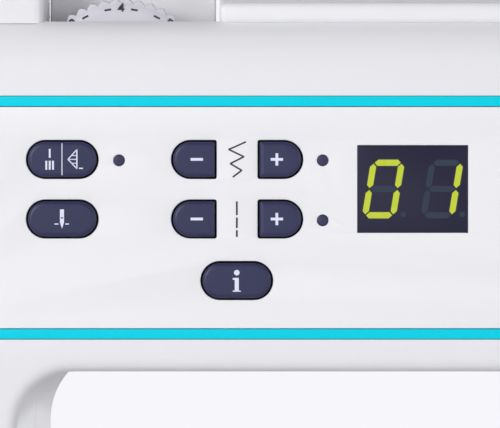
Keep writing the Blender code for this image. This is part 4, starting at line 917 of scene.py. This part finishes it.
head = add("GeometryNodeMeshCone", Vertices=28, Radius_Top=times(given["Radius"], 0.82),
           Radius_Bottom=given["Radius"], Depth=given["Height"])
arm_length = times(given["Radius"], 1.15)
lift = add("ShaderNodeCombineXYZ", Z=times(given["Height"], 0.9))
cross = add("GeometryNodeMeshBoolean", {"operation": "UNION"})
for along, across in (("X", "Y"), ("Y", "X")):
    size = add("ShaderNodeCombineXYZ", **{along: arm_length, across: given["Slot"], "Z": given["Height"]})
    arm = add("GeometryNodeMeshCube", Size=size.outputs[0])
    moved = add("GeometryNodeTransform", Geometry=arm.outputs[0], Translation=lift.outputs[0])
    screw_tree.links.new(moved.outputs[0], cross.inputs[1])
cutout = add("GeometryNodeMeshBoolean", {"operation": "DIFFERENCE"})
screw_tree.links.new(head.outputs[0], cutout.inputs[0])
screw_tree.links.new(cross.outputs[0], cutout.inputs[1])
facing = add("FunctionNodeAlignRotationToVector", {"axis": "Z"}, Vector=given["Facing"])
spread = add("GeometryNodeInstanceOnPoints", Points=given["Geometry"], Instance=cutout.outputs[0],
             Rotation=facing.outputs[0])
spin = add("FunctionNodeRandomValue", {"data_type": "FLOAT"}, Max=pi, Seed=given["Seed"])
turn = add("ShaderNodeCombineXYZ", Z=spin.outputs[1])
turned = add("GeometryNodeRotateInstances", Instances=spread.outputs[0], Rotation=turn.outputs[0])
close(turned.outputs[0])


slot_share = 0.28
screw_seed = 7


def screws(name, places, facing, radius, height, body="machine", material=None):
    values = {"Radius": radius, "Height": height, "Slot": radius * slot_share, "Facing": facing,
              "Seed": screw_seed, "Material": material or steel}
    return fixed(repeat(name, places, screw_tree, values), body)


for node, look, width in (("needle_bar", steel, 0.25), ("needle_clamp", steel, 0.2), ("needle", needle_steel, 0),
                          ("take_up_lever", steel, 0.25), ("presser_bar", steel, 0.25), ("presser_foot", steel, 0.3),
                          ("presser_lifter", grey_plastic, 0.5), ("sewing_lamp", lamp_look, 0.3),
                          ("reverse_button", white, 0.3)):
    refined(node, look, width)

guide_half = 7 * MM
guide_y = -40 * MM
wire("head_thread_guide", [(needle_x + guide_half, guide_y, head_bottom + 2 * MM),
                           (needle_x + guide_half, guide_y, head_bottom - 4 * MM),
                           (needle_x, guide_y - MM, head_bottom - 6 * MM),
                           (needle_x - guide_half, guide_y, head_bottom - 5 * MM),
                           (needle_x - guide_half + MM, guide_y + 2 * MM, head_bottom - 3 * MM)], 0.6 * MM)

face_inset = 13 * MM
face_low = Vector((head_left - 0.8 * MM, casing_front + face_inset, head_bottom + 10 * MM))
face_high = Vector((head_left, casing_back - face_inset, casing_top - 22 * MM))
bm = cuboid(face_low, face_high)
roll_edges(bm, 0.35 * MM)
fixed(from_bmesh(bm, "face_cover_plate", white))
face_screw = (face_low.x - 0.5 * MM, 0, head_bottom + 24 * MM)
screws("face_cover_screw", [face_screw], (-1, 0, 0), 3 * MM, 1.2 * MM)

reverse_middle = (reverse_low + reverse_high) / 2
arrow_radius = 2.2 * MM
arrow_width = 0.55 * MM
tip_width = 0.5 * MM
arrow_ring = [(reverse_middle.x + arrow_radius * cos(radians(a)), reverse_middle.z + arrow_radius * sin(radians(a)))
              for a in range(-90, 91, 12)]
arrow_left = reverse_middle.x - 3 * MM
arrow_tip = (arrow_left, arrow_ring[-1][1])
arrow_lines = [stroke(a, b, arrow_width) for a, b in zip(arrow_ring, arrow_ring[1:])]
arrow_lines += [stroke((arrow_left + 0.3 * MM, arrow_ring[0][1]), arrow_ring[0], arrow_width),
                stroke(arrow_ring[-1], arrow_tip, arrow_width)]
arrow_lines += [stroke(arrow_tip, (arrow_tip[0] + 1.3 * MM, arrow_tip[1] + rise * MM), tip_width)
                for rise in (1.1, -1.1)]
for number, shape in enumerate(arrow_lines):
    print_on(f"reverse_arrow_{number}", [shape], reverse_low.y, print_dark, "reverse")


# ------------------------------------------------------------------ bed and free arm
# White base housing and free arm, with the steel needle plate, feed dog and hook cover
# let into the top, and the slide-off accessory tray. Two plate screws, cross-headed.

plate_low, plate_high = (Vector(v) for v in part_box("needle_plate"))
bed_low, bed_high = (Vector(v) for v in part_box("base_casing"))
brushed = finish_material("brushed steel plate", (0.6, 0.6, 0.61), 0.3, grain=0.3, metallic=1.0, streak=(1, 40, 1))
smoky = finish_material("clear cover plastic", (0.42, 0.43, 0.46), 0.18, coat=0.3)
dark_plastic = finish_material("black moulded plastic", (0.03, 0.03, 0.033), 0.45, grain=0.5, tint=0.1)
rubber = finish_material("black rubber", (0.022, 0.022, 0.024), 0.7, grain=0.7, tint=0.15)

box_tree, given, add, close = node_tree("row of bars", {"Count": "Int", "Step": "Vector", "Size": "Vector",
                                                        "Material": "Material"})
row = add("GeometryNodeMeshLine", {"mode": "OFFSET"}, Count=given["Count"], Offset=given["Step"])
start = add("GeometryNodeInputPosition")
first = add("GeometryNodeSampleIndex", {"data_type": "FLOAT_VECTOR"}, Geometry=given["Geometry"])
box_tree.links.new(start.outputs[0], next(s for s in first.inputs if s.name == "Value" and s.enabled))
row_at = add("GeometryNodeSetPosition", Geometry=row.outputs[0], Offset=first.outputs[0])
one_bar = add("GeometryNodeMeshCube", Size=given["Size"])
bars = add("GeometryNodeInstanceOnPoints", Points=row_at.outputs[0], Instance=one_bar.outputs[0])
close(bars.outputs[0])


def row_of_bars(name, start, step, count, size, material):
    return repeat(name, [start], box_tree, {"Count": count, "Step": step, "Size": size, "Material": material})


vent_pitch = 7 * MM
vent_size = (3 * MM, 8 * MM, 22 * MM)
vent_count = 9
vent_left = bed_low.x + 28 * MM
vent_height = bed_low.z + 30 * MM
vents = row_of_bars("vents", (vent_left, bed_high.y, vent_height), (vent_pitch, 0, 0), vent_count, vent_size, white)
base = cut(from_bmesh(source_mesh("base_casing"), "base_housing", white, correct=False), vents)
fixed(base, stands_for=("base_casing",))
refined("free_arm_casing", white)
refined("needle_plate", brushed, 0.15)
refined("bobbin_cover", smoky, 0.3)
refined("feed_dog", steel, 0.1)
refined("accessory_tray", white, 0.5)
refined("tray_lid", white, 0.5)
refined("base_plate", grey_plastic, 0.6)
for foot in ("foot_left_front", "foot_left_back", "foot_right_front", "foot_right_back"):
    refined(foot, rubber, 0.5)

plate_screw_x = plate_high.x - 5 * MM
screws("needle_plate_screws", [(plate_screw_x, plate_low.y + 6 * MM, plate_high.z),
                               (plate_screw_x, plate_high.y - 5 * MM, plate_high.z)], (0, 0, 1), 2.6 * MM, 0.5 * MM)
guide_size = (0.35 * MM, 24 * MM, 0.06 * MM)
guide_start = (needle_x + 12 * MM, plate_low.y + 25 * MM, plate_high.z)
fixed(row_of_bars("seam_guide_lines", guide_start, (5 * MM, 0, 0), 3, guide_size, print_dark))

head_screw_x = head_left + 32 * MM
pillar_screw_x = pillar_right - 26 * MM
high_screw_z = casing_top - 25 * MM
low_screw_z = pillar_bottom + 27.7 * MM
rear_places = [(head_screw_x, high_screw_z), (pillar_screw_x, high_screw_z), (pillar_screw_x, low_screw_z),
               (harp_right + 18 * MM, low_screw_z), (head_screw_x, head_bottom + 18 * MM)]
screws("rear_casing_screws", [(x, casing_back + 0.1 * MM, z) for x, z in rear_places], (0, 1, 0), 3 * MM, 1.4 * MM,
       material=dark_plastic)
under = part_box("base_plate")[0][2]
under_step = 100 * MM
under_places = [(x * under_step, y, under) for x in (-1, 0, 1) for y in (-30 * MM, 30 * MM)]
screws("base_plate_screws", under_places, (0, 0, -1), 3.2 * MM, 1.4 * MM)


# ------------------------------------------------------------------ handwheel
# White wheel on the end of the main shaft with a ring of moulded grip ribs on its rim.
# It turns with the shaft, and its hub cap covers the fixing screw.

rib_count = 44
rib_size = (1.2 * MM, 1.3 * MM, 9 * MM)
rib_sink = 0.3 * MM
wheel_radius = (shaft_high.z - shaft_low.z) / 2
rib_tree, given, add, close = node_tree("grip ribs", {"Count": "Int", "Radius": "Float", "Size": "Vector",
                                                      "Material": "Material"})
ring = add("GeometryNodeMeshCircle", Vertices=given["Count"], Radius=given["Radius"])
out_of = add("GeometryNodeInputPosition")
aim = add("FunctionNodeAlignRotationToVector", {"axis": "X"}, Vector=out_of.outputs[0])
rib = add("GeometryNodeMeshCube", Size=given["Size"])
ribs = add("GeometryNodeInstanceOnPoints", Points=ring.outputs[0], Instance=rib.outputs[0], Rotation=aim.outputs[0])
middle = add("GeometryNodeInputPosition")
centre = add("GeometryNodeSampleIndex", {"data_type": "FLOAT_VECTOR"}, Geometry=given["Geometry"])
rib_tree.links.new(middle.outputs[0], next(s for s in centre.inputs if s.name == "Value" and s.enabled))
upright = add("GeometryNodeTransform", Geometry=ribs.outputs[0], Rotation=(0, pi / 2, 0))
placed = add("GeometryNodeTransform", Geometry=upright.outputs[0], Translation=centre.outputs[0])
close(placed.outputs[0])

refined("handwheel", white, 0.6)
grip = repeat("handwheel_grip_ribs", [(shaft_middle.x - 2 * MM, shaft_middle.y, shaft_middle.z)], rib_tree,
              {"Count": rib_count, "Radius": wheel_radius - rib_sink, "Size": rib_size, "Material": white})
bm = bmesh.new()
bm.from_mesh(grip.data)
roll_edges(bm, 0.3 * MM, 2)
bpy.data.objects.remove(grip, do_unlink=True)
fixed(from_bmesh(bm, "handwheel_grip_ribs", white), "main_drive")


# ------------------------------------------------------------------ right side
# Mains inlet, foot-control socket and rocker switch in black plastic, let into the right
# end of the base housing, with plated contact pins.

def rod(name, start, end, radius, material, body="machine"):
    """Round pin between two points."""
    a, b = Vector(start), Vector(end)
    bm = bmesh.new()
    bmesh.ops.create_cone(bm, cap_ends=True, segments=32, radius1=radius, radius2=radius, depth=(b - a).length)
    bm.transform(Matrix.Translation((a + b) / 2) @ (b - a).to_track_quat("Z", "Y").to_matrix().to_4x4())
    roll_edges(bm, radius * 0.25, 2)
    return fixed(from_bmesh(bm, name, material), body)


inlet_low, inlet_high = (Vector(v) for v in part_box("power_inlet"))
switch_low, switch_high = (Vector(v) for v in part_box("power_switch"))
refined("power_inlet", dark_plastic, 0.3)
refined("pedal_jack", dark_plastic)
refined("power_switch", dark_plastic)
inlet_middle = (inlet_low + inlet_high) / 2
pin_start = inlet_low.x + 2 * MM
pin_reach = 8 * MM
pin_spread = 4 * MM
for side, label in ((-1, "front"), (1, "back")):
    y = inlet_middle.y + side * pin_spread
    rod(f"inlet_pin_{label}", (pin_start, y, inlet_middle.z), (pin_start + pin_reach, y, inlet_middle.z),
        1.2 * MM, steel)
switch_middle = (switch_low + switch_high) / 2


def mark_on_end(name, outlines, x, body):
    """Printed mark on a face that looks to the right; outlines are (y, z) points."""
    bm = bmesh.new()
    for outline in outlines:
        rings = [[bm.verts.new((level, y, z)) for y, z in outline] for level in (x + 0.06 * MM, x - 0.1 * MM)]
        skin(bm, rings)
        bm.faces.new(rings[0])
        bm.faces.new(rings[1])
    return fixed(from_bmesh(bm, name, symbol_look), body)


on_z = switch_middle.z + 5 * MM
off_z = switch_middle.z - 5 * MM
on_half = 1.5 * MM
on_line = stroke((switch_middle.y, on_z - on_half), (switch_middle.y, on_z + on_half), 0.5 * MM)
mark_on_end("switch_on_mark", [on_line], switch_high.x, "switch")
off_ring = [(switch_middle.y + 1.3 * MM * cos(radians(a)), off_z + 1.7 * MM * sin(radians(a)))
            for a in range(0, 361, 15)]
off_lines = [stroke(a, b, 0.45 * MM) for a, b in zip(off_ring, off_ring[1:])]
mark_on_end("switch_off_mark", off_lines, switch_high.x, "switch")


# ------------------------------------------------------------------ inside
# Cast chassis, steel shafts, motor, toothed belts, rotary hook and the control board,
# which show only through openings or with a cover off. Bare metal, rubber and laminate.

cast_metal = finish_material("cast aluminium", (0.5, 0.5, 0.51), 0.5, grain=0.8, metallic=0.9, tint=0.08)
board_look = finish_material("circuit board laminate", (0.02, 0.13, 0.06), 0.4, tint=0.15, coat=0.4)
motor_look = finish_material("plated motor can", (0.45, 0.45, 0.44), 0.35, metallic=1.0, tint=0.06, streak=(12, 1, 1))
hook_steel = finish_material("hook steel", (0.55, 0.55, 0.57), 0.22, metallic=1.0, tint=0.05)
for node, look in (("chassis", cast_metal), ("main_shaft", steel), ("lower_shaft", steel), ("motor", motor_look),
                   ("motor_pulley", cast_metal), ("drive_belt", rubber), ("timing_belt", rubber),
                   ("rotary_hook", hook_steel), ("bobbin_case", dark_plastic), ("bobbin", smoky),
                   ("control_board", board_look)):
    refined(node, look)
